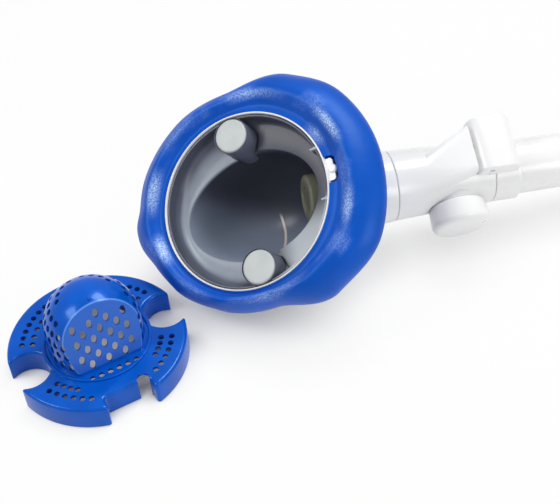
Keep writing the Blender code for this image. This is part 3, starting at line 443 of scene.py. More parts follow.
# Painted highlights on the bumper's crest: a whitish tint, and the places round the mouth where it is painted.
PAINTED_HIGHLIGHT_TINT = (0.46, 0.62, 0.88)
PAINTED_HIGHLIGHT_PLACES = (      # degrees round the mouth, half spread, radius, strength
    (22.0, 15.0, 0.0645, 0.95), (24.0, 11.0, 0.0545, 0.55), (-22.0, 13.0, 0.0645, 0.65),
    (72.0, 26.0, 0.0620, 0.35), (122.0, 18.0, 0.0615, 0.30), (157.0, 17.0, 0.0590, 0.85),
    (-168.0, 13.0, 0.0570, 0.95), (-80.0, 24.0, 0.0580, 0.30), (-135.0, 20.0, 0.0580, 0.20),
)


def blue_rubber():
    """Satin rubber: soft lumps, a fine grain, and painted whitish highlights on the crest, speckled by the grain.
    """
    maker = MaterialMaker("blue_rubber")
    point = maker.place()
    grain = maker.noise(point, 1100.0, 2.0, 0.6)
    lumps = maker.noise(point, 190.0, 2.0)
    patch = maker.noise(point, 42.0, 3.0)
    deep = Vector(colours().bumper)
    x, y, z = maker.split(maker.place(MOUTH))
    turn = x.math("ARCTAN2", y, x)
    reach = (x * x + y * y) ** 0.5
    # Painted highlight: a patchy whitish sheen along the crest, stronger at each listed place.
    crest_highlight = z.between(0.0002, 0.0016) * patch.between(0.50, 0.72) * 0.2
    for place, spread, radius, strength in PAINTED_HIGHLIGHT_PLACES:
        along = (turn - math.radians(place)).size()
        across = (reach - radius).size()
        mask = along.between(math.radians(spread), 0.0) * across.between(0.0042, 0.0002)
        crest_highlight = crest_highlight + mask * z.between(-0.0035, -0.0005) * strength
    highlight_speck = (crest_highlight * (0.35 + 0.9 * grain.between(0.40, 0.62))).clamped()
    shade = maker.blend(patch.between(0.25, 0.8), deep * 0.88, deep * 1.08)
    colour = maker.blend(highlight_speck, shade, PAINTED_HIGHLIGHT_TINT)
    height = grain * 0.35 + lumps * 0.65
    return maker.finish(colour, 0.33 + 0.16 * grain,
                        maker.bump(height, sizes().bumper_grain, 0.8),
                        **{"Specular IOR Level": 0.45, "Specular Tint": (0.35, 0.6, 1.0)})


# Painted light on the strainer's facet, and a painted highlight line along its edge on the dome.
FACET_LIGHT_TINT = (0.04, 0.15, 0.62)
FACET_EDGE_HIGHLIGHT_TINT = (0.16, 0.38, 0.85)


def blue_plastic():
    maker = MaterialMaker("blue_plastic")
    point = maker.place()
    cloud = maker.noise(point, 60.0, 3.0)
    fine = maker.noise(point, 1300.0, 2.0)
    deep = Vector(colours().strainer)
    shade = maker.blend(cloud.between(0.3, 0.75), deep * 0.88, deep * 1.1)
    x, y, z = maker.split(maker.place(STRAINER @ facet_frame(0.0)))
    level = maker.split(maker.place(STRAINER))[2]
    dome = level.between(STRAINER_HEIGHT + 0.0012, STRAINER_HEIGHT + 0.0020)
    # Painted light lightens the facet; a painted highlight runs in a thin line on the dome beside the facet's
    # edge.
    facet = z.between(-0.0002, -0.0001) * z.between(0.0004, 0.0002) * dome
    edge = z.between(-0.0013, -0.0008) * z.between(-0.0001, -0.0003) * dome
    lit = maker.blend(facet * 0.8, shade, FACET_LIGHT_TINT)
    colour = maker.blend(edge * 0.6, lit, FACET_EDGE_HIGHLIGHT_TINT)
    return maker.finish(colour, 0.16 + 0.12 * cloud,
                        maker.bump(cloud * 0.5 + fine * 0.5, 0.00004, 0.5),
                        **{"Specular IOR Level": 0.4, "Specular Tint": (0.3, 0.6, 1.0),
                           "Coat Weight": 0.15, "Coat Roughness": 0.08})


# Liner tints: painted light and painted shadow in the bowl, painted shade on the wall, painted light on the ledge
# and a painted reflection on the shelf.
BOWL_LIGHT_TINT = (0.27, 0.32, 0.42)
BOWL_SHADOW_TINT = (0.034, 0.036, 0.054)
WALL_SHADE_TINT = (0.052, 0.058, 0.086)
LEDGE_LIGHT_TINT = (0.34, 0.39, 0.46)
REFLECTION_TINT = (0.42, 0.46, 0.50)


def slate_plastic():
    """Chamber liner: slate with a violet cast, a fine moulded grain and one raised parting seam; painted shade,
    painted light, a painted reflection and a painted highlight on the seam are laid over it.
    """
    maker = MaterialMaker("slate_plastic")
    x, y, z = maker.split(maker.place(MOUTH))
    point = maker.place()
    cloud = maker.noise(point, 50.0, 3.0)
    fine = maker.noise(point, 1400.0, 2.0)
    base = Vector(colours().liner)
    mottled = maker.blend(cloud.between(0.3, 0.8), base * 0.82, base * 1.15)
    inside = z.between(-0.0152, -0.0175)
    slant = y + 0.45 * x
    outside = 1.0 - inside
    # Painted shade: the wall darkens near the rim and towards the heel.
    wall_shade_mask = outside * (z.between(-0.0100, -0.0065) + x.between(-0.008, 0.004)).clamped()
    wall = maker.blend(wall_shade_mask * 0.75, mottled, WALL_SHADE_TINT)
    # Painted shadow over the bowl's upper side.
    bowl_shadowed = maker.blend(inside * slant.between(-0.004, 0.014), wall, BOWL_SHADOW_TINT)
    # Painted light on the bowl's lower side.
    lit = maker.blend(inside * slant.between(0.008, -0.020), bowl_shadowed, BOWL_LIGHT_TINT)
    # Painted highlight: a pale band on the ledge near the bowl's edge, on the toe side.
    ledge_light_mask = outside * z.between(-0.0105, -0.0140) * x.between(0.004, -0.008)
    pale = maker.blend(ledge_light_mask * (0.55 + 0.45 * cloud), lit, LEDGE_LIGHT_TINT)
    # Painted reflection: a pale patch on the shelf towards the heel on the lower post's side, and a painted
    # highlight on the rib tops.
    shelf_reflection_mask = outside * x.between(0.004, 0.022) * y.between(-0.008, -0.026)
    rib = (y.size() - RIB_SPREAD).size().between(0.0010, 0.0007) * x.between(0.0425, 0.0432)
    shade = maker.blend((shelf_reflection_mask + rib * z.between(-0.0050, -0.0025)).clamped(), pale, REFLECTION_TINT)
    # A moulded seam in the bowl: a real raised ridge, painted a warm white as its highlight.
    bend = (x + 0.0040 + 3.0 * (y + 0.006) * (y + 0.006)).size()
    seam = bend.between(0.00110, 0.00035) * z.between(-0.0165, -0.0180) * y.between(0.008, 0.003)
    colour = maker.blend(seam * 0.9, shade, (0.88, 0.78, 0.72))
    height = cloud * 0.4 + fine * 0.6 + seam * 4.0
    return maker.finish(colour, 0.30 + 0.14 * cloud - 0.1 * seam,
                        maker.bump(height, 0.00005, 0.6))


def plain(name, cloud, tones, roughness, bump, fine=None, mix=0.0, eased=True, **fixed):
    """A material of two tones whose mottling, roughness and bump follow one or two noises.

    cloud and fine are (scale, detail); roughness is (least, range); bump is (depth, strength);
    mix is the cloud's share of the bump.
    """
    maker = MaterialMaker(name)
    point = maker.place()
    cloud = maker.noise(point, *cloud)
    fine = maker.noise(point, *fine) if fine else cloud
    colour = maker.blend(cloud.between(0.3, 0.75) if eased else cloud, *tones)
    rough = fine if name == "pale_plastic" else cloud
    height = cloud * mix + fine * (1.0 - mix) if mix else fine
    return maker.finish(colour, roughness[0] + roughness[1] * rough, maker.bump(height, *bump),
                        **fixed)


def plain_material(name):
    white = Vector(colours().white)
    slate = Vector(colours().liner)
    recipes = {
        "white_plastic": dict(
            cloud=(35.0, 3.0), fine=(900.0, 2.0), mix=0.7, tones=(white * 0.96, white),
            roughness=(0.24, 0.10), bump=(0.00008, 0.5),
            **{"Coat Weight": 0.15, "Coat Roughness": 0.12}),
        "white_enamel": dict(
            cloud=(30.0, 3.0), fine=(450.0, 1.0), tones=(white * 0.95, white),
            roughness=(0.22, 0.10), bump=(0.00003, 0.5),
            **{"Coat Weight": 0.2, "Coat Roughness": 0.1}),
        "grey_plastic": dict(
            cloud=(60.0, 3.0), tones=(slate * 0.9, slate * 1.3), roughness=(0.34, 0.14),
            bump=(0.00005, 0.5)),
        "pale_plastic": dict(
            cloud=(80.0, 3.0), fine=(2200.0, 2.0),
            tones=((0.46, 0.50, 0.49), (0.53, 0.57, 0.56)), roughness=(0.42, 0.12),
            bump=(0.00004, 0.7)),
        "olive_rubber": dict(
            cloud=(120.0, 3.0), tones=((0.15, 0.155, 0.11), (0.22, 0.225, 0.165)),
            roughness=(0.40, 0.15), bump=(0.0001, 0.5)),
        "black_rubber": dict(
            cloud=(900.0, 2.0), tones=((0.012, 0.012, 0.013), (0.03, 0.03, 0.032)),
            eased=False, roughness=(0.5, 0.2), bump=(0.00005, 1.0)),
        "steel": dict(
            cloud=(700.0, 3.0), tones=((0.50, 0.50, 0.52), (0.62, 0.62, 0.64)), eased=False,
            roughness=(0.22, 0.2), bump=(0.00002, 1.0), metallic=1.0),
    }
    return plain(name, **recipes[name])


MATERIALS = {}
LAYERED = {"blue_rubber": blue_rubber, "blue_plastic": blue_plastic,
           "slate_plastic": slate_plastic}


def material(name):
    if name not in MATERIALS:
        MATERIALS[name] = LAYERED[name]() if name in LAYERED else plain_material(name)
    return MATERIALS[name]


# ---- mouth: bell, liner, columns ---------------------------------------------------------------
RIM_RADIUS = 0.052
SHELL_WALL = 0.0015
BELL_STRAIGHT = 0.022
BELL_DEPTH = 0.0655
SPOUT_RADIUS = 0.0208
SPOUT_FLARE = 0.0022
SPOUT_START = 0.040
SPOUT_END = 0.078
SPIGOT_RADIUS = 0.0168
TAB_HALF_WIDTH = 0.0064
TAB_REACH = 0.0034
TAB_THICKNESS = 0.0030
TAB_DROP = 0.0015
TAB_BUMP = 0.0026
POST_SPREAD = 0.0398
POST_RADIUS = 0.0104
POST_LENGTH = 0.0240
POST_FLOOR = 0.0045
POST_BORE = 0.0055
SCREW_HOLE = 0.0021
BOSS_RADIUS = 0.0060
SCREW_SHANK = 0.0018
CAP_THICKNESS = 0.0020
CAP_RADIUS = 0.0100


def at_post(side):
    return Matrix.Translation((0, side * POST_SPREAD, 0))


def quarter_oval(radius, depth, inset, count=20):
    points = []
    for k in range(count + 1):
        angle = math.radians(90.0 * k / count)
        points.append((max(0.0, (radius - inset) * math.cos(angle)),
                       -BELL_STRAIGHT - (depth - BELL_STRAIGHT) * math.sin(angle)))
    return points


def build_bell():
    lip = sizes().rim_round
    inner = RIM_RADIUS - SHELL_WALL
    solid = [(0.0, 0.0), (RIM_RADIUS - 1.7 * lip, 0.0), (RIM_RADIUS - 1.2 * lip, -0.3 * lip),
             (RIM_RADIUS - 0.9 * lip, -1.2 * lip), (RIM_RADIUS - 0.5 * lip, -2.6 * lip),
             (RIM_RADIUS, -3.4 * lip)]
    solid += quarter_oval(RIM_RADIUS, BELL_DEPTH, 0.0)
    bell = mesh_object("bell", lathe(solid, 128), MOUTH)
    spout = lathe([(0, SPOUT_END), (SPOUT_RADIUS - 0.0006, SPOUT_END),
                   (SPOUT_RADIUS, SPOUT_END - 0.0006),
                   (SPOUT_RADIUS + SPOUT_FLARE, SPOUT_START), (0, SPOUT_START)], 96)
    shape(bell, [("UNION", placed(spout, ALONG_POLE))], POLE)
    reach = RIM_RADIUS + TAB_REACH
    tab = block((inner + 0.0003, -TAB_HALF_WIDTH, -TAB_DROP - TAB_THICKNESS),
                (reach, TAB_HALF_WIDTH, -TAB_DROP), edges=Z_AXIS, radius=0.0015)
    low = -TAB_DROP - TAB_THICKNESS * 0.9
    bump = lathe([(0, 0.0007 - TAB_DROP), (TAB_BUMP - 0.0008, 0.0007 - TAB_DROP),
                  (TAB_BUMP, -TAB_DROP), (TAB_BUMP, low), (0, low)], 40)
    shape(bell, [("UNION", tab),
                 ("UNION", placed(bump, Matrix.Translation((reach - 0.001, 0, 0))))], MOUTH)
    hollow = [(0.0, 0.001), (inner + 3 * lip, 0.001), (inner + 0.8 * lip, 0.0001),
              (inner + 0.3 * lip, -0.4 * lip), (inner + 0.08 * lip, -0.8 * lip),
              (inner, -1.4 * lip)]
    hollow += quarter_oval(RIM_RADIUS, BELL_DEPTH - SHELL_WALL, SHELL_WALL)
    room = mesh_object("room", lathe(hollow, 128), MOUTH)
    bosses = []
    for side in (1, -1):
        boss = lathe([(SCREW_SHANK + GAP, -BELL_DEPTH), (BOSS_RADIUS, -BELL_DEPTH),
                      (BOSS_RADIUS, -POST_LENGTH - GAP),
                      (SCREW_SHANK + GAP, -POST_LENGTH - GAP)], SMALL, ring=True)
        bosses.append(("DIFFERENCE", placed(boss, at_post(side))))
    shape(room, bosses, MOUTH)
    shape(bell, [("DIFFERENCE", room)], MOUTH)
    bore = bar(SPIGOT_RADIUS + GAP, SPOUT_START - 0.012, SPOUT_END + 0.001, 96)
    shape(bell, [("DIFFERENCE", placed(bore, ALONG_POLE))], POLE)
    dress(bell, "head", "white_plastic", "head_shell")


LINER_WALL = 0.0014
LINER_SLACK = 0.0004
LEDGE_DEPTH = 0.015
SHELF_RISE = 0.0030
RIM_DROP = -0.0012
SHELF_EDGE = math.radians(74.0)
SHELF_COVE = 0.0022
FUNNEL_RISE = 0.0098
LEDGE_THICKNESS = 0.0025
BOWL_LENGTH = 0.0400
BOWL_TOE = 0.0042
BOWL_WIDTH = 0.0310
BOWL_DEPTH = 0.0455
BOWL_WALL = 0.0018
RIB_SPREAD = 0.0148
RIB_REACH = 0.0046
RIB_THICKNESS = 0.0012
OUTLET_BORE = 0.0137
OUTLET_WALL = 0.0015
OUTLET_END = 0.0570


def oval_reach(turn, length, width):
    """Radius of an oval in the direction of a turn."""
    return length * width / math.hypot(width * math.cos(turn), length * math.sin(turn))


def liner_column(turn):
    """From the middle of the bowl's inside, over the ledge and rim, to the outside's middle."""
    outer = RIM_RADIUS - SHELL_WALL - LINER_SLACK
    inner = outer - LINER_WALL
    toe = max(0.0, -math.cos(turn)) ** 2
    mouth = oval_reach(turn, BOWL_LENGTH + BOWL_TOE * toe, BOWL_WIDTH)
    around = abs((turn + math.pi) % (2 * math.pi) - math.pi)
    shelf = around < SHELF_EDGE
    top = SHELF_RISE - LEDGE_DEPTH if shelf else -LEDGE_DEPTH
    column = []
    for k in range(23):
        angle = math.radians(2.0 + 88.0 * k / 22)
        column.append((mouth * math.sin(angle), -LEDGE_DEPTH - BOWL_DEPTH * math.cos(angle)))
    edge = 0.0007
    column[-1] = (mouth, top - edge)
    column += [(mouth + 0.3 * edge, top - 0.3 * edge), (mouth + edge, top)]
    room = inner - mouth - edge - 0.0004
    cove = min(SHELF_COVE, room) if shelf else room
    rise = SHELF_COVE if shelf else FUNNEL_RISE
    for k in range(13):
        angle = math.radians(90.0 * k / 12)
        column.append((inner - cove + cove * math.sin(angle),
                       top + rise * (1 - math.cos(angle))))
    column += [(inner, RIM_DROP - 0.0006), (inner + 0.0002, RIM_DROP - 0.0001),
               (inner + 0.0005, RIM_DROP), (outer - 0.0003, RIM_DROP),
               (outer, RIM_DROP - 0.0003)]
    low = -LEDGE_DEPTH - LEDGE_THICKNESS
    shell = min(outer - 0.0005, mouth + BOWL_WALL)
    column += [(outer, low), (shell, low - 0.0001)]
    for k in range(17):
        angle = math.radians(90.0 - 88.0 * k / 16)
        height = -LEDGE_DEPTH - (BOWL_DEPTH + BOWL_WALL) * math.cos(angle)
        column.append((shell * math.sin(angle), min(low - 0.0003, height)))
    return column


def build_liner():
    turns = 216
    rings = []
    columns = [liner_column(2 * math.pi * (k + 0.5) / turns) for k in range(turns)]
    for row in range(len(columns[0])):
        ring = []
        for k in range(turns):
            turn = 2 * math.pi * (k + 0.5) / turns
            radius, height = columns[k][row]
            ring.append((radius * math.cos(turn), radius * math.sin(turn), height))
        rings.append(ring)
    liner = mesh_object("chamber", loft(rings, cap_ends=True), MOUTH)
    outlet = bar(OUTLET_BORE + OUTLET_WALL, 0.0385, OUTLET_END, 64)
    shape(liner, [("UNION", placed(outlet, ALONG_POLE))], POLE)
    inner = RIM_RADIUS - SHELL_WALL - LINER_SLACK - LINER_WALL
    steps = []
    for side in (1, -1):
        middle = side * RIB_SPREAD
        rib = block((inner - RIB_REACH, middle - RIB_THICKNESS / 2, -LEDGE_DEPTH - 0.001),
                    (inner + 0.0008, middle + RIB_THICKNESS / 2, RIM_DROP), edges="ALL",
                    radius=0.0003, segments=2)
        steps.append(("UNION", rib))
    for side in (1, -1):
        pocket = bar(POST_RADIUS + GAP, -POST_LENGTH - 2 * GAP, 0.001, 64)
        steps.append(("DIFFERENCE", placed(pocket, at_post(side))))
    shape(liner, steps, MOUTH)
    bore = bar(OUTLET_BORE, 0.0250, OUTLET_END + 0.001, 64)
    shape(liner, [("DIFFERENCE", placed(bore, ALONG_POLE))], POLE)
    dress(liner, "head", "grey_plastic", "chamber_liner", finish="slate_plastic")


def build_columns():
    for name, side in (("upper", 1), ("lower", -1)):
        stand = MOUTH @ at_post(side)
        seat = -CAP_THICKNESS - GAP
        floor = -POST_LENGTH + POST_FLOOR
        outline = [(CAP_RADIUS + GAP, 0), (POST_RADIUS, 0), (POST_RADIUS, -POST_LENGTH),
                   (SCREW_HOLE, -POST_LENGTH), (SCREW_HOLE, floor), (POST_BORE, floor),
                   (POST_BORE, seat), (CAP_RADIUS + GAP, seat)]
        post = mesh_object("column_" + name, lathe(outline, 64, ring=True), stand)
        dress(post, "head", "grey_plastic", "post_" + name)
        cap = [(0, 0.0), (CAP_RADIUS - 0.0009, 0.0), (CAP_RADIUS, -0.0007),
               (CAP_RADIUS, -CAP_THICKNESS), (0, -CAP_THICKNESS)]
        lid = mesh_object("column_cap_" + name, lathe(cap, 64, soften=0.0005), stand)
        dress(lid, "head", "pale_plastic", "post_cap_" + name)


# ---- bumper ------------------------------------------------------------------------------------
BUMPER_STATIONS = (0.0, 35.0, 60.0, 90.0, 135.0, 165.0, 180.0)
BUMPER_REACH = (0.0780, 0.0785, 0.0755, 0.0655, 0.0648, 0.0652, 0.0680)
BUMPER_DEPTH = (0.0195, 0.0215, 0.0265, 0.0200, 0.0145, 0.0135, 0.0125)
BUMPER_FULLNESS = (0.0026, 0.0018, 0.0024, 0.0037, 0.0060, 0.0070, 0.0046, 0.0010, -0.0022,
                   -0.0040, -0.0020, 0.0026, 0.0026)
LIP_OVER = 0.0006
BEAK_PLACE = 172.0
BEAK_WIDTH = 6.5
BEAK_REACH = 0.0020
RELIEF_HALF_WIDTH = 0.0078
RELIEF_REACH = 0.0054


def smooth_between(places, values, place):
    for k in range(len(places) - 1):
        if place <= places[k + 1]:
            share = (place - places[k]) / (places[k + 1] - places[k])
            ease = share * share * (3 - 2 * share)
            return values[k] + (values[k + 1] - values[k]) * ease
    return values[-1]


def bumper_section(turn):
    """Closed section of the bumper, as (radius, height) pairs, at a turn round the mouth."""
    whole = math.degrees(turn) % 360.0
    angle = min(whole, 360.0 - whole)
    inner = RIM_RADIUS + GAP
    reach = smooth_between(BUMPER_STATIONS, BUMPER_REACH, angle)
    reach += smooth_between([30.0 * k for k in range(13)], BUMPER_FULLNESS, whole)
    reach += BEAK_REACH * math.exp(-((whole - BEAK_PLACE) / BEAK_WIDTH) ** 2)
    width = reach - inner
    depth = smooth_between(BUMPER_STATIONS, BUMPER_DEPTH, angle)
    wave = 0.16 * math.sin(3 * turn + 0.7) + 0.10 * math.sin(7 * turn + 2.0)
    crest = sizes().bumper_crest * (1.0 + wave)
    lip = -0.0002
    coarse = [
        (inner - LIP_OVER, lip - 0.0003), (inner + 0.06 * width, lip - 0.0008),
        (inner + 0.16 * width, lip - 0.0006), (inner + 0.30 * width, 0.55 * crest),
        (inner + 0.45 * width, crest), (inner + 0.60 * width, 0.72 * crest),
        (inner + 0.80 * width, -0.06 * depth), (inner + 0.95 * width, -0.30 * depth),
        (inner + width, -0.54 * depth), (inner + 0.93 * width, -0.75 * depth),
        (inner + 0.74 * width, -0.91 * depth), (inner + 0.45 * width, -0.98 * depth),
        (inner + 0.18 * width, -depth), (inner, -0.97 * depth),
    ]
    fine = []
    count = len(coarse) - 1
    for k in range(count):
        p0 = Vector(coarse[max(k - 1, 0)])
        p1 = Vector(coarse[k])
        p2 = Vector(coarse[k + 1])
        p3 = Vector(coarse[min(k + 2, count)])
        for j in range(4):
            t = j / 4
            fine.append(tuple(0.5 * ((2 * p1) + (p2 - p0) * t
                                     + (2 * p0 - 5 * p1 + 4 * p2 - p3) * t * t
                                     + (3 * p1 - p0 - 3 * p2 + p3) * t ** 3)))
    fine.append(coarse[-1])
    for k in range(1, 9):
        fine.append((inner, coarse[-1][1] + (-0.0016 - coarse[-1][1]) * k / 8))
    return fine


def build_bumper():
    turns = 220
    rings = []
    for k in range(turns):
        turn = 2 * math.pi * k / turns
        rings.append([(radius * math.cos(turn), radius * math.sin(turn), height)
                      for radius, height in bumper_section(turn)])
    bumper = mesh_object("bumper_ring", loft(rings), MOUTH)
    relief = block((RIM_RADIUS - 0.004, -RELIEF_HALF_WIDTH, -0.0065),
                   (RIM_RADIUS + RELIEF_REACH, RELIEF_HALF_WIDTH, 0.006), edges=Z_AXIS,
                   radius=0.0035, segments=8)
    shape(bumper, [("DIFFERENCE", relief)], MOUTH)
    dress(bumper, "head", "blue_rubber", "bumper", sharp=40.0)


# ---- valve -------------------------------------------------------------------------------------
VALVE_FACE = 0.0285
PUCK_RADIUS = 0.0140
PUCK_THICKNESS = 0.0062
PUCK_SLOT_LENGTH = 0.0150
PUCK_SLOT_WIDTH = 0.0040
PUCK_LIP = 0.0012
HOUSING_BORE = 0.0112
FLAP_RADIUS = 0.0086
FLAP_THICKNESS = 0.0014


def build_puck():
    back = VALVE_FACE + PUCK_THICKNESS
    spigot = HOUSING_BORE - GAP
    end = back + 0.0030
    outline = [(0, end), (spigot, end), (spigot, back), (PUCK_RADIUS, back),
               (PUCK_RADIUS, VALVE_FACE + PUCK_LIP), (PUCK_RADIUS - PUCK_LIP, VALVE_FACE),
               (PUCK_RADIUS - 3 * PUCK_LIP, VALVE_FACE),
               (PUCK_RADIUS - 3.5 * PUCK_LIP, VALVE_FACE + 0.5 * PUCK_LIP),
               (0, VALVE_FACE + 0.5 * PUCK_LIP)]
    puck = mesh_object("valve_puck", lathe(outline, 72, soften=0.0006), TURNED)
    slot = block((VALVE_FACE - 0.001, -PUCK_SLOT_LENGTH / 2, -PUCK_SLOT_WIDTH / 2),
                 (end + 0.001, PUCK_SLOT_LENGTH / 2, PUCK_SLOT_WIDTH / 2), edges=X_AXIS,
                 radius=PUCK_SLOT_WIDTH * 0.45, segments=6)
    shape(puck, [("DIFFERENCE", slot)], POLE)
    dress(puck, "head", "olive_rubber", "valve_seat")


def build_flap():
    half = FLAP_THICKNESS / 2
    disc = lathe([(0, half), (FLAP_RADIUS, half), (FLAP_RADIUS, -half), (0, -half)], 56,
                 soften=0.0004)
    flap = mesh_object("flap", placed(disc, ALONG_POLE),
                       POLE @ Matrix.Translation((FLAP_PLACE, 0, 0)))
    hinge = POLE @ Matrix.Translation((FLAP_PLACE, 0, FLAP_PIN_HEIGHT)) @ TO_KNOB
    shape(flap, [("UNION", bar(0.0017, -0.0034, 0.0034)),
                 ("DIFFERENCE", bar(0.0010, -0.02, 0.02))], hinge)
    dress(flap, "flap", "black_rubber", "valve_flap")


# ---- neck and collar ---------------------------------------------------------------------------
NECK_RADIUS = 0.0184
NECK_TAPER_END = 0.130
NECK_END = 0.1373
NECK_BORE = 0.0135
SPIGOT_START = 0.0525
SPIGOT_BORE_DEPTH = 0.0090
POLE_STOP = 0.1215
SEAL_WIRE = 0.0006
NECK_SEAL_PLACE = 0.0660
POLE_SEAL_PLACE = 0.1270
RAMP_START = 0.098
RAMP_FOOT_LOW = math.radians(-48.0)
RAMP_FOOT_HIGH = math.radians(26.0)
COLLAR_RADIUS = 0.0182
COLLAR_END = 0.1533
COLLAR_CHAMFER = 0.0008
LAP_RADIUS = 0.0172
LAP_LENGTH = 0.0030
POLE_RADIUS = 0.0160
POLE_WALL = 0.0014
POLE_END = 0.4300
LEVER_START = 0.1258
LEVER_LENGTH = 0.0258
LEVER_LOW = -0.0085
LEVER_HIGH = 0.0245
LEVER_MIDDLE = (LEVER_LOW + LEVER_HIGH) / 2
LEVER_FACE = 0.0270
LEVER_BASE = 0.0030
LEVER_ROUND = 0.0085
LEVER_GAP = 0.0011
LATCH_PIN_PLACE = 0.1335
LATCH_PIN_HEIGHT = 0.0222
LATCH_PIN_RADIUS = 0.0012
LUG_WIDTH = 0.0060
LUG_LENGTH = 0.0056
SPRING_PLACE = 0.1284
SPRING_POCKET = 0.0024
SPRING_WIRE = 0.0003
SPRING_HEIGHT = 0.0042
TOOTH_PLACE = 0.1465
TOOTH_LENGTH = 0.0040
TOOTH_WIDTH = 0.0050
TOOTH_TIP = 0.0150
KNOB_PLACE = 0.1148
KNOB_RADIUS = 0.0170
KNOB_START = 0.0186
KNOB_LENGTH = 0.0138
KNOB_STEM = 0.0042


def around_neck(place, angle, radius):
    return (place, radius * math.sin(angle), radius * math.cos(angle))


def neck_ramp():
    foot = []
    for k in range(25):
        angle = RAMP_FOOT_LOW + (RAMP_FOOT_HIGH - RAMP_FOOT_LOW) * k / 24
        foot.append(around_neck(RAMP_START, angle, SPOUT_RADIUS - 0.0012))
    deep = [around_neck(RAMP_START + 0.004, angle, NECK_BORE + 0.003)
            for angle in (RAMP_FOOT_LOW, RAMP_FOOT_HIGH)]
    place = LEVER_START - LEVER_GAP
    face = LEVER_FACE - 0.0008
    low = LEVER_LOW + 0.0008
    high = LEVER_HIGH - 0.0035
    end_face = [(place, low, 0.0165), (place, high, 0.010), (place, 0.0165, 0.002)]
    for y, z in arc_points((low + 0.003, face - 0.003), 0.003, 180, 90, 6):
        end_face.append((place, y, z))
    for y, z in arc_points((high - 0.004, face - 0.004), 0.004, 90, 0, 6):
        end_face.append((place, y, z))
    return hull(foot + deep + end_face)


def neck_hollow():
    socket = POLE_RADIUS + GAP
    spigot_inner = OUTLET_BORE + OUTLET_WALL + GAP
    bore_step = SPIGOT_START + SPIGOT_BORE_DEPTH
    groove = socket + 2 * SEAL_WIRE + GAP
    half = SEAL_WIRE + GAP
    return lathe([
        (0, COLLAR_END), (socket, COLLAR_END), (socket, POLE_SEAL_PLACE + half),
        (groove, POLE_SEAL_PLACE + half), (groove, POLE_SEAL_PLACE - half),
        (socket, POLE_SEAL_PLACE - half), (socket, POLE_STOP - GAP), (NECK_BORE, POLE_STOP - GAP),
        (NECK_BORE, bore_step + 0.001), (spigot_inner, bore_step),
        (spigot_inner, SPIGOT_START - 0.002), (0, SPIGOT_START - 0.002)], 90)


def knob_frame():
    return Matrix.Translation((KNOB_PLACE, 0, 0)) @ TO_KNOB


def latch_pin_hole():
    place = Matrix.Translation((LATCH_PIN_PLACE, LEVER_MIDDLE, LATCH_PIN_HEIGHT))
    return placed(bar(LATCH_PIN_RADIUS + GAP, -0.03, 0.03), place @ TO_KNOB)


def build_neck():
    shoulder = SPOUT_END + GAP
    groove = SPIGOT_RADIUS - 2 * SEAL_WIRE - GAP
    half = SEAL_WIRE + GAP
    outline = [
        (0, NECK_END + LAP_LENGTH), (LAP_RADIUS, NECK_END + LAP_LENGTH), (LAP_RADIUS, NECK_END),
        (NECK_RADIUS - 0.0004, NECK_END), (NECK_RADIUS, NECK_END - 0.0004),
        (NECK_RADIUS, NECK_TAPER_END), (SPOUT_RADIUS - GAP, shoulder + 0.0005),
        (SPOUT_RADIUS - GAP - 0.0005, shoulder), (SPIGOT_RADIUS, shoulder),
        (SPIGOT_RADIUS, NECK_SEAL_PLACE + half), (groove, NECK_SEAL_PLACE + half),
        (groove, NECK_SEAL_PLACE - half), (SPIGOT_RADIUS, NECK_SEAL_PLACE - half),
        (SPIGOT_RADIUS, SPIGOT_START), (0, SPIGOT_START),
    ]
    neck = mesh_object("neck_body", lathe(outline, 96), TURNED)
    lug = block((LATCH_PIN_PLACE - LUG_LENGTH / 2, LEVER_MIDDLE - LUG_WIDTH / 2, 0.0120),
                (LATCH_PIN_PLACE + LUG_LENGTH / 2, LEVER_MIDDLE + LUG_WIDTH / 2,
                 LATCH_PIN_HEIGHT + LUG_LENGTH / 2), edges=Y_AXIS, radius=LUG_LENGTH * 0.42)
    boss = lathe([(0, KNOB_START - GAP), (KNOB_RADIUS - 0.0040, KNOB_START - GAP),
                  (KNOB_RADIUS - 0.0035, KNOB_START - GAP - 0.0005),
                  (KNOB_RADIUS - 0.0035, NECK_BORE - 0.002), (0, NECK_BORE - 0.002)], 64)
    shape(neck, [
        ("UNION", neck_ramp()), ("UNION", lug), ("UNION", placed(boss, knob_frame())),
        ("DIFFERENCE", placed(neck_hollow(), ALONG_POLE)),
        ("DIFFERENCE", latch_pin_hole()),
        ("DIFFERENCE", placed(bar(KNOB_RADIUS + 0.001, KNOB_START - GAP + 0.00002, 0.03, 60),
                              knob_frame())),
        ("DIFFERENCE", placed(bar(KNOB_STEM + GAP, 0.005, 0.03), knob_frame())),
        ("DIFFERENCE", placed(bar(KNOB_STEM + 2 * (GAP + SEAL_WIRE),
                                  KNOB_START - 2 * (GAP + SEAL_WIRE), 0.03), knob_frame())),
    ], POLE)
    dress(neck, "head", "white_plastic", "neck", sharp=24.0)


def build_collar():
    socket = POLE_RADIUS + GAP
    start = NECK_END + GAP
    lap_end = NECK_END + LAP_LENGTH + GAP
    outline = [
        (socket + COLLAR_CHAMFER, COLLAR_END), (COLLAR_RADIUS - COLLAR_CHAMFER, COLLAR_END),
        (COLLAR_RADIUS, COLLAR_END - COLLAR_CHAMFER), (COLLAR_RADIUS, start + 0.0004),
        (COLLAR_RADIUS - 0.0004, start), (LAP_RADIUS + GAP, start),
        (LAP_RADIUS + GAP, lap_end), (socket, lap_end), (socket, COLLAR_END - COLLAR_CHAMFER)]
    collar = mesh_object("collar", lathe(outline, 96, ring=True), TURNED)
    shape(collar, [("DIFFERENCE", tooth_window())], POLE)
    dress(collar, "head", "white_plastic", "end_collar")


def tooth_window():
    half = TOOTH_LENGTH / 2 + 0.0012
    return block((TOOTH_PLACE - half, -TOOTH_WIDTH / 2 - 0.0005, 0.010),
                 (TOOTH_PLACE + half, TOOTH_WIDTH / 2 + 0.0005, 0.030))


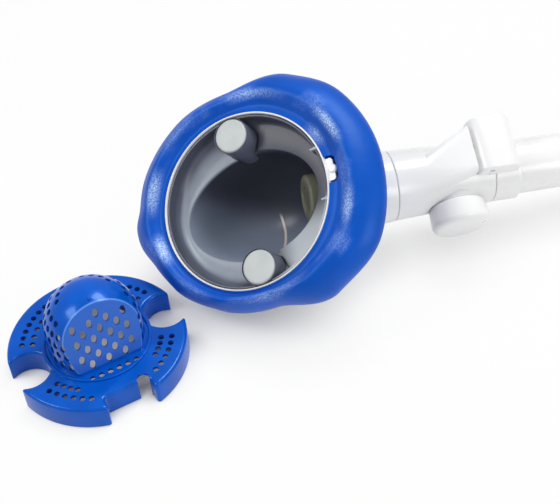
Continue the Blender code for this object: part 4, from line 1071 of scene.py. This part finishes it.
# ---- lever, knob and pole ----------------------------------------------------------------------
def build_lever():
    end = LEVER_START + LEVER_LENGTH
    body = block((LEVER_START, LEVER_LOW, -LEVER_FACE), (end, LEVER_HIGH, LEVER_FACE),
                 edges=Y_AXIS, radius=LEVER_ROUND, segments=14)
    lever = mesh_object("lever", body, POLE)
    soften_edges(lever, 0.0014, 4, 50)
    saddle = placed(bar(COLLAR_RADIUS + 2 * GAP, LATCH_PIN_PLACE, end + 0.01, 96), ALONG_POLE)
    tail = placed(bar(NECK_RADIUS + 0.0018, LEVER_START - 0.01, LATCH_PIN_PLACE, 96), ALONG_POLE)
    spring_foot = math.sqrt(NECK_RADIUS ** 2 - LEVER_MIDDLE ** 2) + 2 * GAP
    spring_top = spring_foot + SPRING_WIRE + SPRING_HEIGHT
    shape(lever, [
        ("DIFFERENCE", block((LEVER_START - 0.01, LEVER_LOW - 0.01, -LEVER_FACE - 0.01),
                             (end + 0.01, LEVER_HIGH + 0.01, LEVER_BASE))),
        ("DIFFERENCE", saddle), ("DIFFERENCE", tail),
        ("DIFFERENCE", block((LATCH_PIN_PLACE - LUG_LENGTH / 2 - 0.0012,
                              LEVER_MIDDLE - LUG_WIDTH / 2 - GAP, 0.010),
                             (LATCH_PIN_PLACE + LUG_LENGTH / 2 + 0.0012,
                              LEVER_MIDDLE + LUG_WIDTH / 2 + GAP,
                              LATCH_PIN_HEIGHT + LUG_LENGTH / 2 + 0.0005))),
        ("DIFFERENCE", placed(bar(SPRING_POCKET, 0.010, spring_top + GAP),
                              Matrix.Translation((SPRING_PLACE, LEVER_MIDDLE, 0)))),
        ("UNION", block((TOOTH_PLACE - TOOTH_LENGTH / 2, -TOOTH_WIDTH / 2, TOOTH_TIP),
                        (TOOTH_PLACE + TOOTH_LENGTH / 2, TOOTH_WIDTH / 2,
                         COLLAR_RADIUS + 0.003))),
        ("DIFFERENCE", latch_pin_hole()),
    ], POLE)
    dress(lever, "lever", "white_plastic", "latch_lever")


def build_knob():
    end = KNOB_START + KNOB_LENGTH
    crown = 0.0006
    clip_radius = KNOB_STEM + 0.0014
    clip_high = math.sqrt(NECK_BORE ** 2 - clip_radius ** 2) - GAP
    clip_low = clip_high - 0.0008
    waist = KNOB_STEM - 0.0010
    outline = [(0, end + crown), (KNOB_RADIUS * 0.6, end + 0.6 * crown)]
    outline += arc_points((KNOB_RADIUS - 0.0040, end - 0.0040), 0.0040, 90, 0, 10)
    outline += [(KNOB_RADIUS - 0.0004, KNOB_START + 0.0005), (KNOB_RADIUS - 0.0009, KNOB_START),
                (KNOB_STEM, KNOB_START), (KNOB_STEM, clip_high + GAP / 2),
                (waist, clip_high + GAP / 2), (waist, clip_low - GAP / 2),
                (KNOB_STEM, clip_low - GAP / 2), (KNOB_STEM, clip_low - 0.0010),
                (0, clip_low - 0.0010)]
    knob = mesh_object("knob", lathe(outline, 80), POLE @ knob_frame())
    dress(knob, "knob", "white_plastic", "side_knob")


def build_pole():
    inner = POLE_RADIUS - POLE_WALL
    outline = [(POLE_RADIUS, POLE_END), (POLE_RADIUS, POLE_STOP), (inner, POLE_STOP),
               (inner, POLE_END)]
    tube = mesh_object("pole", lathe(outline, 96, ring=True, soften=0.0003), TURNED)
    shape(tube, [("DIFFERENCE", tooth_window())], POLE)
    dress(tube, "head", "white_enamel", "pole_tube")
    lip_end = POLE_END + GAP + 0.0022
    bore = inner - GAP - 0.0016
    outline = [(bore, lip_end), (POLE_RADIUS - 0.0006, lip_end), (POLE_RADIUS, lip_end - 0.0006),
               (POLE_RADIUS, POLE_END + GAP), (inner - GAP, POLE_END + GAP),
               (inner - GAP, POLE_END - 0.0160), (bore, POLE_END - 0.0160)]
    ferrule = mesh_object("ferrule", lathe(outline, 80, ring=True), TURNED)
    dress(ferrule, "head", "grey_plastic", "pole_ferrule")


# ---- strainer ----------------------------------------------------------------------------------
STRAINER_RADIUS = 0.0482
STRAINER_HEIGHT = 0.0147
STRAINER_WALL = 0.0017
STRAINER_EDGE = 0.0018
DOME_RADIUS = 0.0260
DOME_STRAIGHT = 0.0140
DOME_WALL = 0.0015
FACET_PLACE = 0.0198
FACET_LEAN = math.radians(15.0)
RING_RADIUS = 0.0286
RING_WIDTH = 0.0018
RING_HEIGHT = 0.0009
NOTCH_CLEARANCE = 0.0016
HEEL_NOTCH_PLACE = 0.0385
HEEL_NOTCH_HALF_WIDTH = 0.0130
HEEL_NOTCH_CORNER = 0.0025
TIP_ROUND = 0.0024
PULL_NOTCH_RADIUS = 0.0034
PULL_NOTCH_PLACE = (0.0378, 0.0098)
NUB_RADIUS = 0.0014
PLATE_ROWS = (
    (0.0345, ((40.0, 60.0, 4), (116.0, 170.0, 7))),
    (0.0402, ((27.0, 61.0, 6), (116.0, 172.0, 9))),
    (0.0300, ((136.0, 160.0, 3),)),
)
DOME_ROWS = (
    (0.0055, 52.0, 172.0, 11, 1.9),
    (0.0130, 55.0, 166.0, 11, 1.5),
    (0.0190, 58.0, 172.0, 11, 1.3),
    (0.0245, 66.0, 166.0, 10, 1.2),
    (0.0300, 76.0, 172.0, 8, 1.1),
    (0.0350, 108.0, 166.0, 4, 1.0),
)
FLOOR_HOLES = (-0.0125, -0.0075, -0.0025, 0.0025, 0.0075, 0.0125)
FLOOR_HOLE_PLACE = 0.0042
HOLE_PIN_LENGTH = 0.0045
FACET_COLUMN = 0.0047
FACET_PITCH = 0.0098
FACET_FIRST_ROW = 0.0042
FACET_MARGIN = 0.0026
FACET_STRETCH = 1.65


def facet_frame(offset):
    turn = Matrix.Rotation(math.radians(90) - FACET_LEAN, 4, "Y")
    place = Matrix.Translation((FACET_PLACE, 0, STRAINER_HEIGHT))
    return place @ turn @ Matrix.Translation((0, 0, offset))


def curve_between(start, corner, end, count=5):
    """Points of a soft corner between two ends, leaving both ends out."""
    points = []
    for k in range(1, count):
        t = k / count
        weights = ((1 - t) ** 2, 2 * t * (1 - t), t ** 2)
        points.append(tuple(sum(w * p[i] for w, p in zip(weights, (start, corner, end)))
                            for i in range(2)))
    return points


def plan_points(inset):
    """Outline of the strainer's plate, moved inwards by an inset."""
    radius = STRAINER_RADIUS - inset
    notch = POST_RADIUS + NOTCH_CLEARANCE + inset
    half = HEEL_NOTCH_HALF_WIDTH + inset
    chord = HEEL_NOTCH_PLACE - inset
    corner = HEEL_NOTCH_CORNER + inset
    heel_edge = math.degrees(math.asin(half / radius))
    reach = (radius ** 2 + POST_SPREAD ** 2 - notch ** 2) / (2 * radius * POST_SPREAD)
    notch_edge = math.degrees(math.acos(reach))
    meet = (radius * math.sin(math.radians(notch_edge)),
            radius * math.cos(math.radians(notch_edge)))
    turn = math.degrees(math.atan2(meet[1] - POST_SPREAD, meet[0]))
    tip = math.degrees(TIP_ROUND / radius)
    bite = math.degrees(TIP_ROUND / notch)
    heel = (radius * math.cos(math.radians(heel_edge)), half)
    side = arc_points((chord + corner, half - corner), corner, 180, 90, 8)
    wing = arc_points((0, 0), radius, heel_edge + tip, 90 - notch_edge - tip, 24)
    bay = arc_points((0, POST_SPREAD), notch, turn - bite, -180 - turn + bite, 40)
    back = arc_points((0, 0), radius, 90 + notch_edge + tip, 180, 30)
    side += [(heel[0] - TIP_ROUND, half)] + curve_between((heel[0] - TIP_ROUND, half), heel,
                                                          wing[0])
    side += wing + curve_between(wing[-1], meet, bay[0])
    side += bay + curve_between(bay[-1], (-meet[0], meet[1]), back[0]) + back
    return side + [(x, -y) for x, y in reversed(side[:-1])]


def stacked(levels):
    return loft([[(x, y, height) for x, y in outline] for outline, height in levels],
                cap_ends=True)


def dome_mesh(radius, low, top, phase):
    outline = [(0.0, top + radius)]
    outline += arc_points((0, top), radius, 86, 0, 18)
    outline += [(radius, low), (0, low)]
    return lathe(outline, 90, phase=math.radians(phase))


def hole_frames():
    """Frame and stretch of each of the strainer's holes; z runs along the hole."""
    frames = []
    plate = STRAINER_HEIGHT - STRAINER_WALL / 2
    for radius, sectors in PLATE_ROWS:
        for start, end, count in sectors:
            for k in range(count):
                angle = math.radians(start + (end - start) * k / max(1, count - 1))
                for side in (1, -1):
                    spot = Matrix.Translation((radius * math.cos(angle),
                                               side * radius * math.sin(angle), plate))
                    frames.append((spot, 1.0))
    wall_middle = DOME_RADIUS - DOME_WALL / 2
    for height, start, end, count, stretch in DOME_ROWS:
        for k in range(count):
            angle = math.radians(start + (end - start) * k / (count - 1))
            for side in (1, -1):
                lift = max(0.0, height - DOME_STRAIGHT)
                tilt = math.asin(min(0.95, lift / DOME_RADIUS))
                level = STRAINER_HEIGHT + min(height, DOME_STRAIGHT)
                point = Vector((wall_middle * math.cos(tilt), 0,
                                wall_middle * math.sin(tilt) + level))
                frames.append((Matrix.Rotation(side * angle, 4, "Z")
                               @ Matrix.Translation(point)
                               @ Matrix.Rotation(math.radians(90) - tilt, 4, "Y"), stretch))
    for column in range(-3, 4):
        across = column * FACET_COLUMN
        for row in range(5):
            up = FACET_FIRST_ROW + (row + 0.5 * (column % 2)) * FACET_PITCH
            inward = FACET_PLACE - up * math.sin(FACET_LEAN)
            lift = max(0.0, up * math.cos(FACET_LEAN) - DOME_STRAIGHT)
            edge = (DOME_RADIUS - FACET_MARGIN) ** 2 - lift ** 2 - inward ** 2
            if edge > 0 and abs(across) < math.sqrt(edge):
                frames.append((facet_frame(-DOME_WALL / 2)
                               @ Matrix.Translation((-up, across, 0)), FACET_STRETCH))
    for across in FLOOR_HOLES:
        frames.append((Matrix.Translation((FACET_PLACE + FLOOR_HOLE_PLACE, across, plate)),
                       1.0))
    return frames


def perforation_tree():
    """Node tree that cuts one round hole at each point of a second mesh."""
    tree = bpy.data.node_groups.new("perforations", "GeometryNodeTree")
    face = tree.interface
    for name, kind in (("Geometry", "Geometry"), ("Places", "Object"), ("Radius", "Float"),
                       ("Length", "Float"), ("Material", "Material")):
        face.new_socket(name, in_out="INPUT", socket_type="NodeSocket" + kind)
    face.new_socket("Geometry", in_out="OUTPUT", socket_type="NodeSocketGeometry")

    def node(kind, **settings):
        made = tree.nodes.new(kind)
        for key, value in settings.items():
            setattr(made, key, value)
        return made

    source = node("NodeGroupInput")
    places = node("GeometryNodeObjectInfo", transform_space="RELATIVE")
    pin = node("GeometryNodeMeshCylinder", fill_type="NGON")
    pin.inputs["Vertices"].default_value = 18
    turn = node("GeometryNodeInputNamedAttribute", data_type="FLOAT_VECTOR")
    turn.inputs["Name"].default_value = "turn"
    stretch = node("GeometryNodeInputNamedAttribute", data_type="FLOAT_VECTOR")
    stretch.inputs["Name"].default_value = "stretch"
    spread = node("GeometryNodeInstanceOnPoints")
    real = node("GeometryNodeRealizeInstances")
    cut = node("GeometryNodeMeshBoolean", operation="DIFFERENCE", solver="EXACT")
    coat = node("GeometryNodeSetMaterial")
    result = node("NodeGroupOutput")
    for start, output, end, socket in (
            (source, "Places", places, "Object"), (source, "Radius", pin, "Radius"),
            (source, "Length", pin, "Depth"), (places, "Geometry", spread, "Points"),
            (pin, "Mesh", spread, "Instance"), (turn, "Attribute", spread, "Rotation"),
            (stretch, "Attribute", spread, "Scale"), (spread, "Instances", real, "Geometry"),
            (source, "Geometry", cut, "Mesh 1"), (real, "Geometry", cut, "Mesh 2"),
            (cut, "Mesh", coat, "Geometry"), (source, "Material", coat, "Material"),
            (coat, "Geometry", result, "Geometry")):
        tree.links.new(start.outputs[output], end.inputs[socket])
    return tree


def socket_identifier(tree, name):
    return next(item.identifier for item in tree.interface.items_tree
                if item.name == name and item.in_out == "INPUT")


def hole_points():
    """A mesh of loose points, each with its hole's turn and stretch as attributes."""
    frames = [(STRAINER @ place, stretch) for place, stretch in hole_frames()]
    mesh = bpy.data.meshes.new("hole_points")
    mesh.from_pydata([tuple(place.translation) for place, _ in frames], [], [])
    turns = mesh.attributes.new("turn", "FLOAT_VECTOR", "POINT")
    stretches = mesh.attributes.new("stretch", "FLOAT_VECTOR", "POINT")
    for index, (place, stretch) in enumerate(frames):
        turns.data[index].vector = Vector(place.to_euler("XYZ"))
        stretches.data[index].vector = (stretch, 1.0, 1.0)
    points = bpy.data.objects.new("hole_points", mesh)
    bpy.context.scene.collection.objects.link(points)
    return points


def build_strainer():
    edge = STRAINER_EDGE
    levels = [(plan_points(0.0005), 0.0), (plan_points(0.0), 0.0006),
              (plan_points(0.0), STRAINER_HEIGHT - edge)]
    for k in range(1, 6):
        angle = math.radians(90.0 * k / 5)
        levels.append((plan_points(edge * (1 - math.cos(angle))),
                       STRAINER_HEIGHT - edge * (1 - math.sin(angle))))
    strainer = mesh_object("strainer_basket", stacked(levels), STRAINER)
    top = STRAINER_HEIGHT + DOME_STRAIGHT
    dome = mesh_object("dome", dome_mesh(DOME_RADIUS, STRAINER_HEIGHT - 0.001, top, 2.0),
                       STRAINER)
    far = (-0.08, -0.06, 0)
    near = (0.04, 0.06, 0.06)
    shape(dome, [("DIFFERENCE", block(far, near, facet_frame(0.0)))], STRAINER)
    soften_edges(dome, 0.0019, 5, 28)
    cage = mesh_object("cage", dome_mesh(DOME_RADIUS - DOME_WALL, -0.002, top, 3.0), STRAINER)
    shape(cage, [("DIFFERENCE", block(far, near, facet_frame(-DOME_WALL)))], STRAINER)
    ring = lathe([(RING_RADIUS + RING_WIDTH / 2, STRAINER_HEIGHT + RING_HEIGHT),
                  (RING_RADIUS + RING_WIDTH / 2, STRAINER_HEIGHT - 0.001),
                  (RING_RADIUS - RING_WIDTH / 2, STRAINER_HEIGHT - 0.001),
                  (RING_RADIUS - RING_WIDTH / 2, STRAINER_HEIGHT + RING_HEIGHT)], 120,
                 ring=True, soften=0.0004)
    nub = bar(NUB_RADIUS, DOME_RADIUS - 0.001, DOME_RADIUS + 0.0007, 24, NUB_RADIUS * 0.6)
    nub_frame = Matrix.Translation((0, 0, top)) @ Matrix.Rotation(math.radians(14.0), 4, "Y")
    hollow = stacked([(plan_points(STRAINER_WALL), -0.001),
                      (plan_points(STRAINER_WALL), STRAINER_HEIGHT - STRAINER_WALL)])
    shape(strainer, [("DIFFERENCE", hollow), ("UNION", ring), ("UNION", dome),
                     ("DIFFERENCE", cage), ("UNION", placed(nub, nub_frame)),
                     ("DIFFERENCE", placed(bar(PULL_NOTCH_RADIUS, -0.001, 0.03, 40),
                                           Matrix.Translation((*PULL_NOTCH_PLACE, 0))))],
          STRAINER)
    tree = perforation_tree()
    points = hole_points()
    holes = strainer.modifiers.new("perforations", "NODES")
    holes.node_group = tree
    for name, value in (("Places", points), ("Radius", sizes().hole_radius),
                        ("Length", HOLE_PIN_LENGTH), ("Material", material("blue_plastic"))):
        holes[socket_identifier(tree, name)] = value
    settle(strainer)
    bpy.data.objects.remove(points, do_unlink=True)
    dress(strainer, "strainer", "blue_plastic", "strainer", sharp=28.0)


# ---- carried-over solids -----------------------------------------------------------------------
CARRIED = {
    "post_screw_upper": "steel", "post_screw_lower": "steel", "valve_housing": "grey_plastic",
    "valve_pin": "steel", "neck_seal": "black_rubber", "latch_pin": "steel",
    "latch_spring": "steel", "knob_seal": "black_rubber", "knob_clip": "steel",
    "pole_seal": "black_rubber",
}


def dress_carried():
    for node, name in CARRIED.items():
        solid = frame["nodes"][node]
        for place in solid.material_slots:
            place.material = material(name)


# ---- stage -------------------------------------------------------------------------------------
CAMERA_AZIMUTH = -9.64
CAMERA_ELEVATION = 44.9
CAMERA_ROLL = -5.66
CAMERA_DISTANCE = 0.7635
CAMERA_LENS = 85.0
CAMERA_AIM = Vector((-0.1, 0.0, 0.03))
CAMERA_SLIDE = (-0.0316, -0.0104)
STAGE_CENTRE = Vector((-0.12, 0.0, 0.05))
WORLD_LIGHT = 0.46


def build_camera():
    azimuth = math.radians(CAMERA_AZIMUTH)
    elevation = math.radians(CAMERA_ELEVATION)
    roll = math.radians(CAMERA_ROLL)
    back = Vector((math.sin(azimuth) * math.cos(elevation),
                   -math.cos(azimuth) * math.cos(elevation), math.sin(elevation)))
    right = Vector((math.cos(azimuth), math.sin(azimuth), 0.0))
    up = back.cross(right)
    turned_right = right * math.cos(roll) + up * math.sin(roll)
    turned_up = up * math.cos(roll) - right * math.sin(roll)
    place = (CAMERA_AIM + back * CAMERA_DISTANCE + turned_right * CAMERA_SLIDE[0]
             + turned_up * CAMERA_SLIDE[1])
    camera = bpy.data.objects.new("camera", bpy.data.cameras.new("camera"))
    camera.data.lens = CAMERA_LENS
    camera.data.clip_start = 0.01
    camera.data.clip_end = 20.0
    turned = Matrix((turned_right, turned_up, back)).transposed().to_4x4()
    camera.matrix_world = Matrix.Translation(place) @ turned
    bpy.context.scene.collection.objects.link(camera)
    bpy.context.scene.camera = camera


def stage_material():
    """Pale floor that keeps a soft shadow and shows white to the camera and in reflections."""
    maker = MaterialMaker("stage_white")
    path = maker.node("ShaderNodeLightPath")
    outputs = path.link.node.outputs
    seen = Socket(maker, outputs["Is Camera Ray"])
    mirrored = Socket(maker, outputs["Is Glossy Ray"])
    through = Socket(maker, outputs["Is Transmission Ray"])
    plain = maker.node("ShaderNodeBsdfDiffuse", None, {"Color": (0.80, 0.80, 0.80, 1.0)})
    glow = maker.node("ShaderNodeEmission", None, {"Color": (1.0, 1.0, 1.0, 1.0),
                                                   "Strength": 1.0})
    open_sky = maker.node("ShaderNodeAmbientOcclusion", None, {"Distance": 0.05}, output=1)
    amount = ((seen + mirrored + through) * 0.86).clamped() * open_sky.between(0.1, 0.75)
    mixed = maker.node("ShaderNodeMixShader", None, {0: amount, 1: plain, 2: glow})
    maker.node_output(mixed)
    return maker.material


def build_floor():
    bm = bmesh.new()
    bmesh.ops.create_grid(bm, x_segments=1, y_segments=1, size=3.0)
    floor = mesh_object("floor", bm, Matrix.Translation((0, 0, -0.0002)))
    floor.data.materials.append(stage_material())


def area_lamp(name, place, aim, size, power):
    lamp = bpy.data.lights.new(name, "AREA")
    lamp.shape = "RECTANGLE"
    lamp.size, lamp.size_y = size
    lamp.energy = power
    holder = bpy.data.objects.new(name, lamp)
    holder.location = place
    direction = Vector(aim) - Vector(place)
    holder.rotation_mode = "QUATERNION"
    holder.rotation_quaternion = direction.to_track_quat("-Z", "Y")
    bpy.context.scene.collection.objects.link(holder)


def build_world():
    """A dimmer white for the light it gives than for what the camera sees."""
    world = bpy.data.worlds.new("studio")
    bpy.context.scene.world = world
    world.use_nodes = True
    tree = world.node_tree
    tree.nodes.clear()
    path = tree.nodes.new("ShaderNodeLightPath")
    lights = []
    for strength in (WORLD_LIGHT, 1.0):
        light = tree.nodes.new("ShaderNodeBackground")
        light.inputs["Color"].default_value = (1.0, 1.0, 1.0, 1.0)
        light.inputs["Strength"].default_value = strength
        lights.append(light)
    mixed = tree.nodes.new("ShaderNodeMixShader")
    output = tree.nodes.new("ShaderNodeOutputWorld")
    tree.links.new(path.outputs["Is Camera Ray"], mixed.inputs[0])
    tree.links.new(lights[0].outputs[0], mixed.inputs[1])
    tree.links.new(lights[1].outputs[0], mixed.inputs[2])
    tree.links.new(mixed.outputs[0], output.inputs["Surface"])


def build_stage():
    bpy.context.scene.view_settings.view_transform = "Standard"
    build_world()
    build_floor()
    area_lamp("key", STAGE_CENTRE + Vector((0.34, 0.33, 1.0)), STAGE_CENTRE, (0.55, 0.40), 7.2)
    area_lamp("fill", STAGE_CENTRE + Vector((0.55, -0.78, 0.34)), STAGE_CENTRE, (0.40, 0.40),
              3.0)
    area_lamp("glint", MOUTH @ Vector((-0.222, 0.192, 0.638)), MOUTH.translation,
              (0.25, 0.25), 1.5)
    build_camera()


# ---- add-on ------------------------------------------------------------------------------------
class Builder:
    """What every operator here does: it runs its steps in turn."""
    steps = ()

    def execute(self, context):
        for step in self.steps:
            step()
        return {"FINISHED"}


class HEAD_OT_mouth(Builder, bpy.types.Operator):
    """Build the bell, the chamber liner and the columns"""
    bl_idname = "vacuum_head.mouth"
    bl_label = "Mouth"
    steps = (build_bell, build_liner, build_columns)


class HEAD_OT_bumper(Builder, bpy.types.Operator):
    """Build the soft bumper round the mouth"""
    bl_idname = "vacuum_head.bumper"
    bl_label = "Bumper"
    steps = (build_bumper,)


class HEAD_OT_valve(Builder, bpy.types.Operator):
    """Build the valve's puck and flap"""
    bl_idname = "vacuum_head.valve"
    bl_label = "Valve"
    steps = (build_puck, build_flap)


class HEAD_OT_neck(Builder, bpy.types.Operator):
    """Build the neck and the collar at its end"""
    bl_idname = "vacuum_head.neck"
    bl_label = "Neck"
    steps = (build_neck, build_collar)


class HEAD_OT_latch(Builder, bpy.types.Operator):
    """Build the latch lever and the side knob"""
    bl_idname = "vacuum_head.latch"
    bl_label = "Latch and knob"
    steps = (build_lever, build_knob)


class HEAD_OT_pole(Builder, bpy.types.Operator):
    """Build the lower pole and its ferrule"""
    bl_idname = "vacuum_head.pole"
    bl_label = "Pole"
    steps = (build_pole,)


class HEAD_OT_strainer(Builder, bpy.types.Operator):
    """Build the perforated strainer"""
    bl_idname = "vacuum_head.strainer"
    bl_label = "Strainer"
    steps = (build_strainer,)


class HEAD_OT_carried(Builder, bpy.types.Operator):
    """Give the small solids their finishes"""
    bl_idname = "vacuum_head.carried"
    bl_label = "Small solids"
    steps = (dress_carried,)


class HEAD_OT_stage(Builder, bpy.types.Operator):
    """Build the floor, the lamps and the camera"""
    bl_idname = "vacuum_head.stage"
    bl_label = "Stage"
    steps = (build_stage,)


OPERATORS = (HEAD_OT_mouth, HEAD_OT_bumper, HEAD_OT_valve, HEAD_OT_neck, HEAD_OT_latch,
             HEAD_OT_pole, HEAD_OT_strainer, HEAD_OT_carried, HEAD_OT_stage)


class HEAD_PT_panel(bpy.types.Panel):
    bl_idname = "HEAD_PT_panel"
    bl_label = "Vacuum Head"
    bl_space_type = "VIEW_3D"
    bl_region_type = "UI"
    bl_category = "Vacuum Head"

    def draw(self, context):
        scene = context.scene
        for group in (scene.head_sizes, scene.head_colours):
            for key in group.bl_rna.properties.keys():
                if key not in ("rna_type", "name"):
                    self.layout.prop(group, key)
        for operator in OPERATORS:
            self.layout.operator(operator.bl_idname)


CLASSES = (HeadSizes, HeadColours) + OPERATORS + (HEAD_PT_panel,)


def register():
    for item in CLASSES:
        bpy.utils.register_class(item)
    bpy.types.Scene.head_sizes = PointerProperty(type=HeadSizes)
    bpy.types.Scene.head_colours = PointerProperty(type=HeadColours)


def unregister():
    del bpy.types.Scene.head_colours
    del bpy.types.Scene.head_sizes
    for item in reversed(CLASSES):
        bpy.utils.unregister_class(item)


def main():
    register()
    bpy.ops.vacuum_head.mouth()
    bpy.ops.vacuum_head.bumper()
    bpy.ops.vacuum_head.valve()
    bpy.ops.vacuum_head.neck()
    bpy.ops.vacuum_head.latch()
    bpy.ops.vacuum_head.pole()
    bpy.ops.vacuum_head.strainer()
    bpy.ops.vacuum_head.carried()
    bpy.ops.vacuum_head.stage()


if __name__ == "__main__":
    main()
